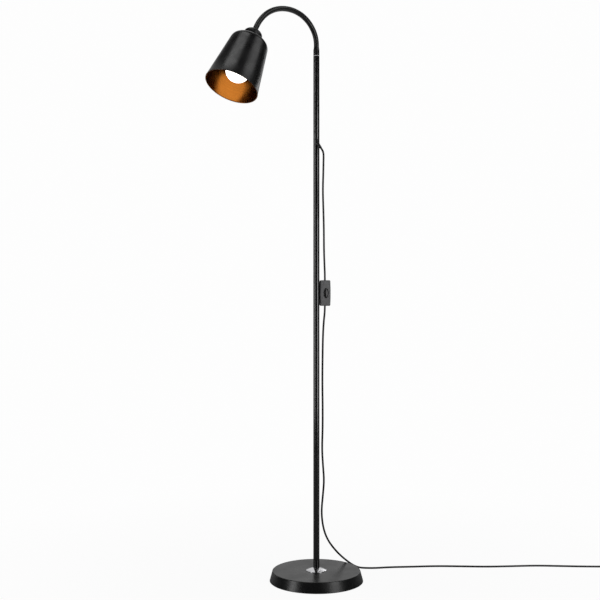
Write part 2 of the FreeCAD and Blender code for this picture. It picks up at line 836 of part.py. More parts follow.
def neck_point(distance):
    """Point and direction on the gooseneck's middle line, from its first bending point."""
    link_length = s.link_length.value
    reach, height, climb = 0.0, first_joint.value, math.pi / 2
    left = distance
    for i, degrees in enumerate(neck_turns):
        if left <= 0:
            break
        part = min(left, link_length)
        turn = math.radians(degrees) * part / link_length
        chord = part * math.sin(turn / 2) / (turn / 2) if turn else part
        reach += chord * math.cos(climb - turn / 2)
        height += chord * math.sin(climb - turn / 2)
        climb -= turn
        left -= part
    if distance <= 0 or left > 0:
        reach += left * math.cos(climb)
        height += left * math.sin(climb)
    way = outward * math.cos(climb) + UP * math.sin(climb)
    return outward * reach + UP * height, way


def ring_at(distance, radius, start=0.0):
    """A circle square to the gooseneck's line, or to its straight run behind a link's start."""
    point, way = neck_point(max(distance, start))
    point += way * min(distance - start, 0)
    wire = Part.Wire(Part.makeCircle(radius))
    wire.Placement = FreeCAD.Placement(point, FreeCAD.Rotation(across, UP, way, "ZXY"))
    return wire


def sleeve(stations, start):
    """A ruled solid through circles given as (distance, radius)."""
    return Part.makeLoft([ring_at(*station, start) for station in stations], True, True)


def ball(joint, radius):
    return Part.makeSphere(radius, neck_point(joint)[0])


def make_neck_link(number):
    """One link: a round end in the last link's seat, its ribs, a bore and a seat for the next."""
    start = s.link_length.value * (number - 1)
    end = s.link_length.value * number
    low = start - ball_reach.value + s.rib_depth.value / 2
    high = end - socket_reach.value
    pitch = (high - low) / round(s.ribs_per_link.value)
    deep, full = groove_radius.value, neck_radius.value
    stations = [(start - s.ball_radius.value - 1, deep)]
    for i in range(round(s.ribs_per_link.value)):
        foot = low + pitch * i
        stations.append((foot, deep))
        stations.append((foot + pitch * s.rib_rise.value, full))
        stations.append((foot + pitch * s.rib_fall.value, full))
        stations.append((foot + pitch * s.rib_foot.value, deep))
    stations.append((end - socket_reach.value / 2, deep))
    bore_steps = 5
    first, last = stations[0][0] - 1, stations[-1][0] + 1
    step = (last - first) / bore_steps
    bore = sleeve([(first + step * i, neck_bore.value) for i in range(bore_steps + 1)], start)
    point, way = neck_point(start)
    behind = s.ball_radius.value * 2
    rounding = Part.makeCylinder(
        s.neck_diameter.value, behind - ball_reach.value / 2, point - way * behind, way
    ).cut(ball(start, s.ball_radius.value))
    link = sleeve(stations, start)
    for cutter in (bore, rounding, ball(end, socket_radius.value)):
        before = link.Volume
        link = link.cut(cutter).Solids[0]
        if not link.Volume < before - 1:
            raise RuntimeError(f"a cut in neck_link_{number} takes nothing off")
    shaped(f"neck_link_{number}", link)


def make_neck_ring():
    """Bright ring between the pole and the ferrule."""
    corners = square(pole_radius - s.ring_step, s.pole_top, ring_top, stud_hole)
    turned("neck_ring", corners)


def make_neck_ferrule():
    """Ferrule that screws into the pole: straight, then tapered to the gooseneck, with a seat."""
    seat_low = first_joint - leg(socket_radius, neck_bore)
    seat_high = first_joint - leg(socket_radius, neck_radius)
    bottom = ring_top - s.ferrule_thread
    outside = s.ferrule_diameter / 2
    corners = [
        (neck_bore, bottom),
        (stud_radius, bottom),
        (stud_radius, ring_top),
        (outside, ring_top),
        (outside, ring_top + s.ferrule_straight),
        (neck_radius, seat_high),
        (neck_bore, seat_low),
    ]
    turned("neck_ferrule", corners, {5: (socket_radius, -1)})


# ---------------------------------------------------------------- head
# The head's pieces are turned about its own axis: heights count from the shade's rim.

shade_rim = s.shade_rim_diameter / 2
shoulder = s.shade_shoulder_diameter / 2
flare = (shade_rim - shoulder) / s.shade_side_height
flare_run = root(1 + flare * flare)
shoulder_centre = (
    shoulder - s.shade_shoulder_radius / flare_run,
    s.shade_side_height - s.shade_shoulder_radius * flare / flare_run,
)
seat_radius = s.shade_seat_diameter / 2


def shoulder_corners(radius):
    """Where a round about the shoulder's centre leaves the side and meets the sloping top."""
    x, y = shoulder_centre
    slope = s.shade_top_angle
    low = (x + radius / flare_run, y + radius * flare / flare_run)
    high = (x + radius * sine(slope), y + radius * cosine(slope))
    return low, high


def top_at(radius, offset):
    """Height of the sloping top at a radius, for the outer face or one offset inwards."""
    _, high = shoulder_corners(s.shade_shoulder_radius - offset)
    return high[1] + (high[0] - radius) * tangent(s.shade_top_angle)


shade_top = top_at(seat_radius, ZERO)
cap_low = top_at(s.cap_diameter / 2, ZERO)
cap_top = shade_top + s.cap_side + s.cap_dome
last_joint = cap_top + s.tip_reach

neck_end, neck_end_way = neck_point(s.link_length.value * link_count)
head = FreeCAD.Placement(
    neck_end + neck_end_way * last_joint.value,
    FreeCAD.Rotation(across, UP, neck_end_way * -1, "ZXY"),
)


def make_neck_tip():
    """End of the gooseneck: a round end, two ribs, a collar on the cap and a hollow thread."""
    thread_low = shade_top - s.shade_wall - s.holder_shoulder / 2
    ball_high = last_joint + ball_reach
    collar_high = cap_top + s.tip_collar_height
    pitch = (ball_high - collar_high) / 2
    corners = [
        (neck_bore, thread_low),
        (stud_radius, thread_low),
        (stud_radius, cap_top),
        (s.tip_collar_diameter / 2, cap_top),
        (s.tip_collar_diameter / 2, collar_high),
    ]
    for i in range(2):
        foot = collar_high + pitch * i
        corners += [
            (groove_radius, foot + pitch * (1 - s.rib_foot)),
            (neck_radius, foot + pitch * (1 - s.rib_fall)),
            (neck_radius, foot + pitch * (1 - s.rib_rise)),
            (groove_radius, foot + pitch),
        ]
    corners.append((neck_bore, last_joint + leg(s.ball_radius, neck_bore)))
    turned("neck_tip", corners, {len(corners) - 2: (s.ball_radius, 1)}, head)


def make_shade_cap():
    """Domed cap over the shade's top, pressed from sheet."""
    outer = s.cap_diameter / 2
    inner = outer - s.cap_wall
    flat = s.cap_flat_diameter / 2
    side_top = shade_top + s.cap_side
    corners = [
        (inner, top_at(inner, ZERO)),
        (outer, cap_low),
        (outer, side_top),
        (flat, cap_top),
        (stud_hole, cap_top),
        (stud_hole, cap_top - s.cap_wall),
        (flat - s.cap_wall / 2, cap_top - s.cap_wall),
        (inner, side_top - s.cap_wall / 2),
    ]
    arcs = {2: (s.cap_crown, 1), 6: (s.cap_crown - s.cap_wall, -1)}
    turned("shade_cap", corners, arcs, head)


def make_shade():
    """Spun shade: conical side, rounded shoulder, sloping top, a flat seat and a rolled rim."""
    wall = s.shade_wall
    out_low, out_high = shoulder_corners(s.shade_shoulder_radius)
    in_low, in_high = shoulder_corners(s.shade_shoulder_radius - wall)
    seat_inside = shade_top - wall
    inner_seat = in_high[0] - (seat_inside - in_high[1]) / tangent(s.shade_top_angle)
    corners = [
        (shade_rim - wall * flare_run, ZERO),
        (shade_rim, ZERO),
        out_low,
        out_high,
        (seat_radius, shade_top),
        (stud_hole, shade_top),
        (stud_hole, seat_inside),
        (inner_seat, seat_inside),
        in_high,
        in_low,
    ]
    arcs = {2: (s.shade_shoulder_radius, 1), 8: (s.shade_shoulder_radius - wall, -1)}
    body = new_body("shade")
    turn_outline(body, corners, arcs)
    bead = s.rim_bead_radius
    middle = shade_rim - wall / 2
    third = bead * sine(Size(60))
    ring = [(middle + bead, ZERO), (middle - bead / 2, third), (middle - bead / 2, -third)]
    turn_outline(body, ring, {0: (bead, 1), 1: (bead, 1), 2: (bead, 1)})
    keep(body, "shade", head)


holder_seat = shade_top - s.shade_wall
holder_mouth = holder_seat - s.holder_length
holder_shoulder = holder_seat - s.holder_shoulder


def make_lampholder():
    """Lampholder: moulded skirt, ceramic core, threaded brass shell and the centre contact."""
    wall = s.holder_wall
    mouth = s.holder_diameter / 2
    top = s.holder_top_diameter / 2
    neck = s.holder_neck_diameter / 2
    roof = holder_shoulder - wall
    skirt = [
        (mouth - wall, holder_mouth),
        (mouth, holder_mouth),
        (top, holder_shoulder),
        (neck, holder_seat),
        (threaded_hole, holder_seat),
        (threaded_hole, roof),
        (top - wall, roof),
    ]
    turned("lampholder_skirt", skirt, None, head)
    core_radius = top - wall - s.core_gap
    core_low = roof - s.core_thickness
    core = square(core_radius, core_low, roof, s.stud_bore / 2)
    turned("lampholder_core", core, None, head)
    bore = s.screw_shell_bore / 2
    shell_low = core_low - s.screw_shell_length
    shell = square(bore + s.screw_shell_wall, shell_low, core_low, bore)
    turned("lampholder_screw_shell", shell, None, head)
    body = new_body("lampholder_contact")
    long, wide = s.contact_length / 2, s.contact_width / 2
    corners = [(-long, -wide), (long, -wide), (long, wide), (-long, wide)]
    low = core_low - s.contact_sheet
    pad_outline(body, "XY_Plane", corners, s.contact_sheet, lift=low)
    keep(body, "lampholder_contact", head)
    return core_low


def make_bulb(core_low):
    """Globe bulb: end contact, screw cap, housing and a thin opal globe."""
    eyelet_top = core_low - s.contact_sheet - s.bulb_gap
    cap_high = eyelet_top - s.bulb_eyelet_height
    cap_bottom = cap_high - s.bulb_cap_length
    housing_low = cap_bottom - s.bulb_housing_length
    globe = s.globe_diameter / 2
    mouth = s.globe_mouth_diameter / 2
    centre = housing_low - leg(globe, mouth)
    cap_radius = s.bulb_cap_diameter / 2
    eyelet = s.bulb_eyelet_diameter / 2
    turned("bulb_eyelet", square(eyelet, cap_high, eyelet_top, ZERO), None, head)
    turned("bulb_screw_cap", square(cap_radius, cap_bottom, cap_high, ZERO), None, head)
    housing = [
        (ZERO, housing_low),
        (mouth, housing_low),
        (s.bulb_waist_diameter / 2, cap_bottom - s.bulb_housing_length / 4),
        (cap_radius, cap_bottom),
        (ZERO, cap_bottom),
    ]
    turned("bulb_housing", housing, {1: (s.bulb_housing_length * 1.6, -1)}, head)
    inner = globe - s.globe_wall
    inner_mouth = leg(inner, housing_low - centre)
    shell = [
        (ZERO, centre - inner),
        (ZERO, centre - globe),
        (globe, centre),
        (mouth, housing_low),
        (inner_mouth, housing_low),
        (inner, centre),
    ]
    arcs = {1: (globe, 1), 2: (globe, 1), 4: (inner, -1), 5: (inner, -1)}
    turned("bulb_globe", shell, arcs, head)


def make_head():
    make_neck_tip()
    make_shade_cap()
    make_shade()
    hexagon_nut("shade_nut", shade_top, head)
    make_bulb(make_lampholder())


# ---------------------------------------------------------------- switch
# The switch's pieces are made about its own middle: x across, y from front to back, z up.

half_width = s.switch_width / 2
half_height = s.switch_height / 2
front_face = -s.switch_depth / 2
back_face = s.switch_depth / 2
split = back_face - s.switch_back_depth

turned_right = level(s.switch_turn.value + 90)
lean_out = turned_right * (pole_radius + s.switch_play + half_width).value
switch = FreeCAD.Placement(
    lean_out
    + level(s.switch_turn.value) * s.switch_forward.value
    + UP * (s.switch_bottom + half_height).value,
    FreeCAD.Rotation(UP, s.switch_turn.value),
)


def housing_outline(inset):
    """The switch seen from the front: bulging sides and level ends, drawn in by an inset."""
    side = half_width - s.switch_bow - inset
    end = half_height - inset
    bow_radius = (end * end + s.switch_bow * s.switch_bow) / (s.switch_bow * 2)
    corners = [(side, end), (-side, end), (-side, -end), (side, -end)]
    return corners, {1: (bow_radius, 1), 3: (bow_radius, 1)}


def upright(edge):
    """A test for an edge that runs straight from the front to the back."""
    if not isinstance(edge.Curve, Part.Line):
        return False
    return abs(edge.tangentAt(edge.FirstParameter).y) > 0.999


def on_level(depth):
    """A test for an edge that lies all in one plane across the switch's depth."""

    def test(edge):
        box = edge.BoundBox
        return abs(box.YMin - depth.value) < 1e-4 and abs(box.YMax - depth.value) < 1e-4

    return test


def half_housing(label, near, far, towards_back):
    """One half of the housing: a hollow tray from its outer face to the split."""
    body = new_body(label)
    corners, arcs = housing_outline(ZERO)
    depth = far - near
    pad_outline(body, "XZ_Plane", corners, depth, arcs, lift=-far)
    round_edges(body, s.switch_corner, upright)
    inner, inner_arcs = housing_outline(s.switch_wall)
    room = depth - s.switch_wall
    opens_back = not towards_back
    pocket_outline(body, "XZ_Plane", inner, room, inner_arcs, lift=-split, back=opens_back)
    return body


def flex_channel(name):
    """The round way for the flex through both ends of the housing."""
    radius = s.flex_diameter / 2 + s.flex_hole_play
    channel = doc.addObject("Part::Cylinder", name)
    bind(channel, "Radius", radius)
    bind(channel, "Height", s.switch_height + 2)
    bind(channel, "Placement.Base.y", split)
    bind(channel, "Placement.Base.z", -half_height - 1)
    return channel


def across_rod(name, radius, length, depth, height=ZERO, middle=ZERO):
    """A rod across the switch, centred on its width."""
    cylinder = doc.addObject("Part::Cylinder", name)
    bind(cylinder, "Radius", radius)
    bind(cylinder, "Height", length)
    cylinder.Placement = FreeCAD.Placement(FreeCAD.Vector(), FreeCAD.Rotation(UP, FreeCAD.Vector(1, 0, 0)))
    bind(cylinder, "Placement.Base.x", middle - length / 2)
    bind(cylinder, "Placement.Base.y", depth)
    bind(cylinder, "Placement.Base.z", height)
    return cylinder


def deep_rod(name, radius, near, length, x, z):
    """A rod from a depth backwards, at a place on the switch's face."""
    cylinder = doc.addObject("Part::Cylinder", name)
    bind(cylinder, "Radius", radius)
    bind(cylinder, "Height", length)
    cylinder.Placement = FreeCAD.Placement(FreeCAD.Vector(), FreeCAD.Rotation(UP, FreeCAD.Vector(0, 1, 0)))
    for path, size in zip("xyz", (x, near, z)):
        bind(cylinder, f"Placement.Base.{path}", size)
    return cylinder


def oval(name, length, width, near, depth):
    """An oval block, from a depth backwards."""
    ellipse = doc.addObject("Part::Ellipse", name + "_line")
    bind(ellipse, "MajorRadius", length / 2)
    bind(ellipse, "MinorRadius", width / 2)
    x_axis = FreeCAD.Vector(0, 0, 1)
    ellipse.Placement = FreeCAD.Placement(
        FreeCAD.Vector(), FreeCAD.Rotation(x_axis, UP, FreeCAD.Vector(0, 1, 0), "ZXY")
    )
    bind(ellipse, "Placement.Base.y", near)
    solid = doc.addObject("Part::Extrusion", name)
    solid.Base = ellipse
    solid.DirMode = "Custom"
    solid.Dir = FreeCAD.Vector(0, 1, 0)
    bind(solid, "LengthFwd", depth)
    solid.Solid = True
    return solid


screw_spots = [(s.screw_side, s.screw_spread), (-s.screw_side, -s.screw_spread)]
screw_head_seat = back_face - s.switch_wall
pivot_depth = front_face + s.rocker_pivot
lug_inside = s.rocker_width / 2 + s.rocker_gap
pin_reach = lug_inside + s.lug_thickness


def make_switch_back():
    """Back half: a tray with two posts that the screws pass, and the flex's way in and out."""
    tray = half_housing("switch_back_tray", split, back_face, True)
    round_edges(tray, s.switch_wall * 0.9, on_level(back_face))
    posts = []
    drills = []
    for i, (x, z) in enumerate(screw_spots):
        post_radius = s.screw_diameter / 2 + s.post_wall
        length = back_face - split - s.switch_wall / 2
        posts.append(deep_rod(f"back_post_{i}", post_radius, split, length, x, z))
        hole = s.screw_diameter / 2 + s.thread_play
        drills.append(deep_rod(f"back_hole_{i}", hole, split - 1, s.switch_depth, x, z))
        head_hole = s.screw_head_diameter / 2 + s.thread_play * 4
        near = back_face - s.screw_head_height
        drills.append(deep_rod(f"back_sink_{i}", head_hole, near, s.switch_depth, x, z))
    whole = joined("switch_back_whole", [tray] + posts)
    cutters = joined("switch_back_cutters", drills + [flex_channel("back_channel")])
    keep(less("switch_back", whole, cutters), "switch_back", switch)


def make_switch_front():
    """Front half: bevelled face, oval opening, posts for the screws and ears for the rocker."""
    tray = half_housing("switch_front_tray", front_face, split, False)
    round_edges(tray, s.switch_bevel, on_level(front_face), "Chamfer")
    pieces = [tray]
    inside = front_face + s.switch_wall
    for i, (x, z) in enumerate(screw_spots):
        post_radius = s.screw_diameter / 2 + s.post_wall
        near = front_face + s.switch_wall / 2
        pieces.append(deep_rod(f"front_post_{i}", post_radius, near, split - near, x, z))
    lug_height = s.rocker_pin_diameter + s.lug_margin * 2
    lug_depth = pivot_depth + s.rocker_pin_diameter / 2 + s.lug_margin - inside
    for side in (-1, 1):
        low_x = lug_inside if side > 0 else -pin_reach
        size = (s.lug_thickness, lug_depth + s.switch_wall / 2, lug_height)
        corner = (low_x, inside - s.switch_wall / 2, -lug_height / 2)
        pieces.append(block(f"rocker_ear_{side + 1}", size, corner))
    whole = joined("switch_front_whole", pieces)
    drills = [flex_channel("front_channel")]
    opening_length = s.rocker_length + s.rocker_gap * 2
    opening_width = s.rocker_width + s.rocker_gap * 2
    window = oval("window", opening_length, opening_width, front_face - 1, s.switch_wall + 1)
    drills.append(window)
    pin_hole = s.rocker_pin_diameter / 2 + s.rocker_pin_play
    drills.append(across_rod("ear_holes", pin_hole, pin_reach * 2 + s.rocker_gap, pivot_depth))
    for i, (x, z) in enumerate(screw_spots):
        pilot = s.screw_diameter / 2 + s.thread_play
        near = screw_head_seat - s.screw_length
        drills.append(deep_rod(f"front_pilot_{i}", pilot, near, s.screw_length, x, z))
    cutters = joined("switch_front_cutters", drills)
    keep(less("switch_front", whole, cutters), "switch_front", switch)


def make_switch_rocker():
    """Rocker: an oval button with a domed crown, on a pin; it stands with its top end pressed."""
    crown = front_face - s.rocker_proud
    block_oval = oval("rocker_oval", s.rocker_length, s.rocker_width, crown, s.rocker_depth)
    half = s.rocker_length / 2 + 1
    fall = s.rocker_fall
    dome_radius = (half * half + fall * fall) / (fall * 2)
    dome = new_body("rocker_dome")
    back = crown + s.rocker_depth
    corners = [
        (crown + fall, half),
        (crown + fall, -half),
        (back, -half),
        (back, half),
    ]
    width = s.rocker_width + 2
    pad_outline(dome, "YZ_Plane", corners, width, {0: (dome_radius, 1)}, lift=-width / 2)
    button = doc.addObject("Part::Common", "rocker_button")
    button.Base = block_oval
    button.Tool = dome
    pin = across_rod("rocker_pin", s.rocker_pin_diameter / 2, pin_reach * 2, pivot_depth)
    rocker = joined("switch_rocker", [button, pin])
    pivot = FreeCAD.Vector(0, pivot_depth.value, 0)
    tilt = FreeCAD.Rotation(FreeCAD.Vector(1, 0, 0), -s.rocker_throw.value / 2)
    tilted = FreeCAD.Placement(FreeCAD.Vector(), tilt, pivot)
    keep(rocker, "switch_rocker", switch.multiply(tilted))


def make_switch_inside():
    """Screws, the bars that grip the flex, and the two brass blades under the rocker."""
    screws = []
    for i, (x, z) in enumerate(screw_spots):
        near = back_face - s.screw_head_height - s.screw_length
        shank = deep_rod(f"screw_shank_{i}", s.screw_diameter / 2, near, s.screw_length, x, z)
        head_near = back_face - s.screw_head_height
        head_radius = s.screw_head_diameter / 2
        top = deep_rod(f"screw_head_{i}", head_radius, head_near, s.screw_head_height, x, z)
        screws.append(joined(f"screw_{i}", [shank, top]))
    together("switch_screws", screws, switch)
    bars = []
    near = split - s.flex_diameter / 2
    for side in (-1, 1):
        end = half_height - s.clamp_inset
        low = end - s.clamp_length if side > 0 else -end
        size = (s.clamp_width, screw_head_seat - near, s.clamp_length)
        corner = (-s.clamp_width / 2, near, low)
        bars.append(block(f"clamp_bar_{side + 1}", size, corner))
    together("switch_clamps", bars, switch)
    blades = []
    for side in (-1, 1):
        x = s.blade_spread / 2 if side > 0 else -s.blade_spread / 2 - s.blade_sheet
        size = (s.blade_sheet, s.blade_height, s.blade_length)
        low = screw_head_seat - s.blade_height
        blades.append(block(f"blade_{side + 1}", size, (x, low, -s.blade_length / 2)))
    together("switch_blades", blades, switch)


# ---------------------------------------------------------------- flex, coil and plug

flex_radius = s.flex_diameter.value / 2


def in_switch(height):
    """A point on the flex's way through the switch, at a height from the switch's middle."""
    return switch.multVec(FreeCAD.Vector(0, split.value, height))


def make_cord_upper():
    """The flex from the bushing down to the switch."""
    gripped = (half_height - s.clamp_inset).value
    points = [bushing_tip, bushing_tip + exit_way * s.flex_lead.value]
    points += [FreeCAD.Vector(*spot) for spot in HANGING_ABOVE_SWITCH]
    points += [in_switch((half_height + s.switch_lead).value), in_switch(gripped)]
    flex_tube("cord_upper", points)


coil_centre = FreeCAD.Vector(s.coil_across.value, s.coil_behind.value, 0)
coil_inside = s.coil_diameter.value / 2 - s.coil_pitch.value * s.coil_turns.value / 4
coil_low = s.tie_sheet.value + s.tie_play.value + flex_radius
climb_turns = 0.5


def coil_radius(turn):
    """The flex spirals in for half its turns, then out again."""
    return coil_inside + s.coil_pitch.value * abs(turn - s.coil_turns.value / 2)


def coil_height(turn):
    """It climbs one layer in the half turn about the middle."""
    share = (turn - s.coil_turns.value / 2) / climb_turns + 0.5
    share = min(max(share, 0), 1)
    return coil_low + s.coil_pitch.value * share * share * (3 - 2 * share)


def coil_point(turn):
    """A point of the coil; it starts at the coil's front, heading right."""
    angle = 2 * math.pi * turn - math.pi / 2
    radial = FreeCAD.Vector(math.cos(angle), math.sin(angle), 0)
    return coil_centre + radial * coil_radius(turn) + UP * coil_height(turn)


def coil_way(turn):
    """The coil's direction there."""
    step = 1e-4
    first = max(turn - step, 0)
    last = min(turn + step, s.coil_turns.value)
    return (coil_point(last) - coil_point(first)).normalize()


def biarc(start, start_way, end, end_way):
    """Two arcs that join two points and keep both directions."""
    gap = end - start
    both = start_way + end_way
    spare = 2 * (1 - start_way.dot(end_way))
    reach = (-gap.dot(both) + math.sqrt(gap.dot(both) ** 2 + spare * gap.dot(gap))) / spare
    middle = (start + end + (start_way - end_way) * reach) * 0.5
    first, _ = corner_arc(start, start + start_way * reach, middle)
    second, _ = corner_arc(middle, end - end_way * reach, end)
    return [first, second]


def level_way(turn):
    """The coil's direction at one of its ends, laid level."""
    way = coil_way(turn)
    return FreeCAD.Vector(way.x, way.y, 0).normalize()


coil_start_way = level_way(0)
coil_end_way = level_way(s.coil_turns.value)
coil_start = coil_point(0) - coil_start_way * s.coil_lead.value
coil_end = coil_point(s.coil_turns.value) + coil_end_way * s.coil_lead.value


def make_cord_coil():
    """The stored length: one unbroken tube in two layers, on arcs of about an eighth of a turn."""
    quarters = round(s.coil_turns.value * 4)
    stops = [s.coil_turns.value * i / quarters for i in range(quarters + 1)]
    ways = [coil_start_way] + [coil_way(stop) for stop in stops[1:-1]] + [coil_end_way]
    edges = [Part.LineSegment(coil_start, coil_point(0)).toShape()]
    for i in range(quarters):
        edges += biarc(coil_point(stops[i]), ways[i], coil_point(stops[i + 1]), ways[i + 1])
    edges.append(Part.LineSegment(coil_point(stops[-1]), coil_end).toShape())
    wire = Part.Wire(edges)
    shaped("cord_coil", tube("cord_coil", wire, flex_radius))
    spots = wire.discretize(Number=320)
    near = wire.Length / 320 * 1.05
    least = min(
        a.distanceToPoint(b)
        for i, a in enumerate(spots)
        for j, b in enumerate(spots[i + 1:], start=i + 1)
        if (j - i) * near > 4 * s.flex_diameter.value
    )
    print(f"cord_coil: least gap to itself {least - 2 * flex_radius:.2f} mm")


def make_cord_lower():
    """The flex from the switch down behind the foot, along the floor to the coil."""
    gripped = (half_height - s.clamp_inset).value
    points = [in_switch(-gripped), in_switch(-(half_height + s.switch_lead).value)]
    points += [FreeCAD.Vector(*spot) for spot in HANGING_BELOW_SWITCH]
    points += [FreeCAD.Vector(x, y, flex_radius) for x, y in LYING_ON_FLOOR]
    points += [coil_start - coil_start_way * s.coil_lead.value * 5, coil_start]
    flex_tube("cord_lower", points)


plug_axis = s.plug_thickness.value / 2
relief_end = coil_end + coil_end_way * s.plug_reach.value
relief_end.z = plug_axis
plug = FreeCAD.Placement(relief_end, FreeCAD.Rotation(UP, coil_end_way))
plug_back = s.relief_length


def make_cord_tail():
    """The last of the flex, from the coil's upper layer down to the plug's strain relief."""
    first = coil_end + coil_end_way * (s.plug_reach.value * 0.3)
    last = relief_end - coil_end_way * (s.plug_reach.value * 0.3)
    flex_tube("cord_tail", [coil_end, first, last, relief_end])


def make_coil_tie():
    """Band round the coil's whole section."""
    angle = s.tie_angle.value
    turn = (angle + 90) / 360
    turns = [turn + i for i in range(math.ceil(s.coil_turns.value)) if turn + i < s.coil_turns.value]
    inner = min(coil_radius(one) for one in turns) - flex_radius - s.tie_play.value
    outer = max(coil_radius(one) for one in turns) + flex_radius + s.tie_play.value
    low = coil_low - flex_radius - s.tie_play.value
    high = coil_low + s.coil_pitch.value + flex_radius + s.tie_play.value
    width, sheet_size = s.tie_width.value, s.tie_sheet.value

    def slab(margin, length):
        corner = FreeCAD.Vector(inner - margin, -length / 2, low - margin)
        return Part.makeBox(outer - inner + 2 * margin, length, high - low + 2 * margin, corner)

    outside = slab(sheet_size, width)
    outside = outside.makeFillet(sheet_size * 2, [e for e in outside.Edges if along_tie(e)])
    inside = slab(0, width + 2)
    inside = inside.makeFillet(sheet_size, [e for e in inside.Edges if along_tie(e)])
    tie = outside.cut(inside)
    tie.Placement = FreeCAD.Placement(coil_centre, FreeCAD.Rotation(UP, angle))
    feature = doc.addObject("Part::Feature", "coil_tie")
    feature.Shape = tie
    keep(feature, "coil_tie", tie.Placement)


def along_tie(edge):
    return abs(edge.tangentAt(edge.FirstParameter).y) > 0.999


def make_plug():
    """Flat two-pin plug lying on the floor, with its tapered strain relief."""
    grip = [
        (ZERO, ZERO),
        (s.relief_tip_diameter / 2, ZERO),
        (s.relief_root_diameter / 2, s.relief_length),
        (ZERO, s.relief_length),
    ]
    turned("plug_strain_relief", grip, None, plug)
    body = new_body("plug_body")
    tail = s.plug_tail_width / 2
    wide = s.plug_width / 2
    waist = plug_back + s.plug_length * 0.45
    front = plug_back + s.plug_length
    corners = [
        (-tail, plug_back),
        (tail, plug_back),
        (wide, waist),
        (wide, front),
        (-wide, front),
        (-wide, waist),
    ]
    thickness = s.plug_thickness
    pad_outline(body, "XZ_Plane", corners, thickness, lift=-thickness / 2)
    round_edges(body, s.plug_edge, lambda edge: abs(edge.BoundBox.YLength) < 1e-6)
    keep(body, "plug_body", plug)
    pins = []
    for side in (-1, 1):
        x = s.pin_spread / 2 * side
        pin = rod(f"plug_pin_{side + 1}", s.pin_diameter / 2, s.pin_length, HOME.Base)
        bind(pin, "Placement.Base.x", x)
        bind(pin, "Placement.Base.z", front)
        pins.append(pin)
    together("plug_pins", pins, plug)


# ---------------------------------------------------------------- build and save


def make_lamp():
    make_base_cover()
    make_base_weight()
    make_base_plate()
    make_base_pad()
    make_foot_fastening()
    make_pole_collar()
    make_pole()
    make_pole_inserts()
    make_bushing()
    make_pole_flex()
    make_neck_ring()
    make_neck_ferrule()
    for number in range(1, link_count + 1):
        make_neck_link(number)
    make_head()
    make_switch_back()
    make_switch_front()
    make_switch_rocker()
    make_switch_inside()
    make_cord_upper()
    make_cord_lower()
    make_cord_coil()
    make_coil_tie()
    make_cord_tail()
    make_plug()


def check_and_save():
    """Recompute, make sure that every piece is whole, and write one file for each."""
    doc.recompute()
    for item in doc.Objects:
        if "Invalid" in item.State or "Error" in item.State:
            raise RuntimeError(f"{item.Label} failed: {item.State}")
    for node in nodes:
        if node.Shape.isNull() or not node.Shape.isValid():
            raise RuntimeError(f"{node.Label} has no valid shape")
    os.makedirs("parts", exist_ok=True)
    for node in nodes:
        node.Shape.exportStep(f"parts/{node.Label}.step")
    print(f"{len(nodes)} sub-parts")


make_lamp()
check_and_save()
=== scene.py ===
"""A gooseneck reading floor lamp: its looks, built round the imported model.

The file is laid out as an add-on and run as a script. Each piece, or group of like pieces, has an
operator; main() calls them in order. Lengths are in metres, in the model's own frame: the foot's
middle is the origin and the pole stands along Z. Most outlines are typed in millimetres, as the
distance from the axis and the height along it, and in_mm() turns them into metres.
"""

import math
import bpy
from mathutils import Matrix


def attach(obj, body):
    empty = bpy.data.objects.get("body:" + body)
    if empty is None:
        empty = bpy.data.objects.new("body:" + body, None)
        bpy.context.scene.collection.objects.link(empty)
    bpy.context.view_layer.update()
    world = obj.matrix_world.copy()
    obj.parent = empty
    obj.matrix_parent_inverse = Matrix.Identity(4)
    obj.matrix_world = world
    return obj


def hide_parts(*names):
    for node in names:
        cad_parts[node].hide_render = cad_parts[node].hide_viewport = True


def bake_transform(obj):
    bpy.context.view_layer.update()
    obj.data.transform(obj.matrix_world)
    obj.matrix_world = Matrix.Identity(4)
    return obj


bl_info = {
    "name": "Gooseneck Reading Lamp",
    "version": (1, 0, 0),
    "blender": (4, 5, 0),
    "location": "View3D > Sidebar > Reading Lamp",
    "description": "Builds the pieces and finishes of a gooseneck reading floor lamp",
    "category": "Object",
}

import bpy
from bpy.props import FloatProperty, FloatVectorProperty, IntProperty, PointerProperty
from mathutils import Matrix, Vector

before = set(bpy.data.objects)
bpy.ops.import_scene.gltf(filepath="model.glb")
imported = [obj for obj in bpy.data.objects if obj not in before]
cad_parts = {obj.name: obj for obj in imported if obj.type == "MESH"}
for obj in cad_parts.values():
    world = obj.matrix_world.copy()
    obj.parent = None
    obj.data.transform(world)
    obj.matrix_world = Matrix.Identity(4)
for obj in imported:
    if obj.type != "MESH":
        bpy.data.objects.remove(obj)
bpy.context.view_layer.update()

UP = Vector((0, 0, 1))
MM = 0.001

# ---------------------------------------------------------------- sizes shared by several pieces

POLE_RADIUS = 8 * MM
POLE_BORE = 6.8 * MM
POLE_JOINTS = [27 * MM, 468 * MM, 909 * MM, 1350 * MM]

# The gooseneck as the lamp stands in use: its links' length and bends, in degrees, and its lean.
FIRST_JOINT = Vector((0, 0, 1.3785))
LINK_LENGTH = 35.1 * MM
LINK_TURNS = [34, 26, 19.5, 14.5, 12.5, 14, 16, 16]
LEAN_AZIMUTH = math.radians(46.7)
OUTWARD = Vector((-math.cos(LEAN_AZIMUTH), -math.sin(LEAN_AZIMUTH), 0))
ACROSS = UP.cross(OUTWARD)
FERRULE_TOP = 1373.27 * MM
NECK_RADIUS = 6.7 * MM

# The head, along its own axis, from the shade's rim.
COLLAR_HIGH = 167.66 * MM
LAST_JOINT = 172.056 * MM

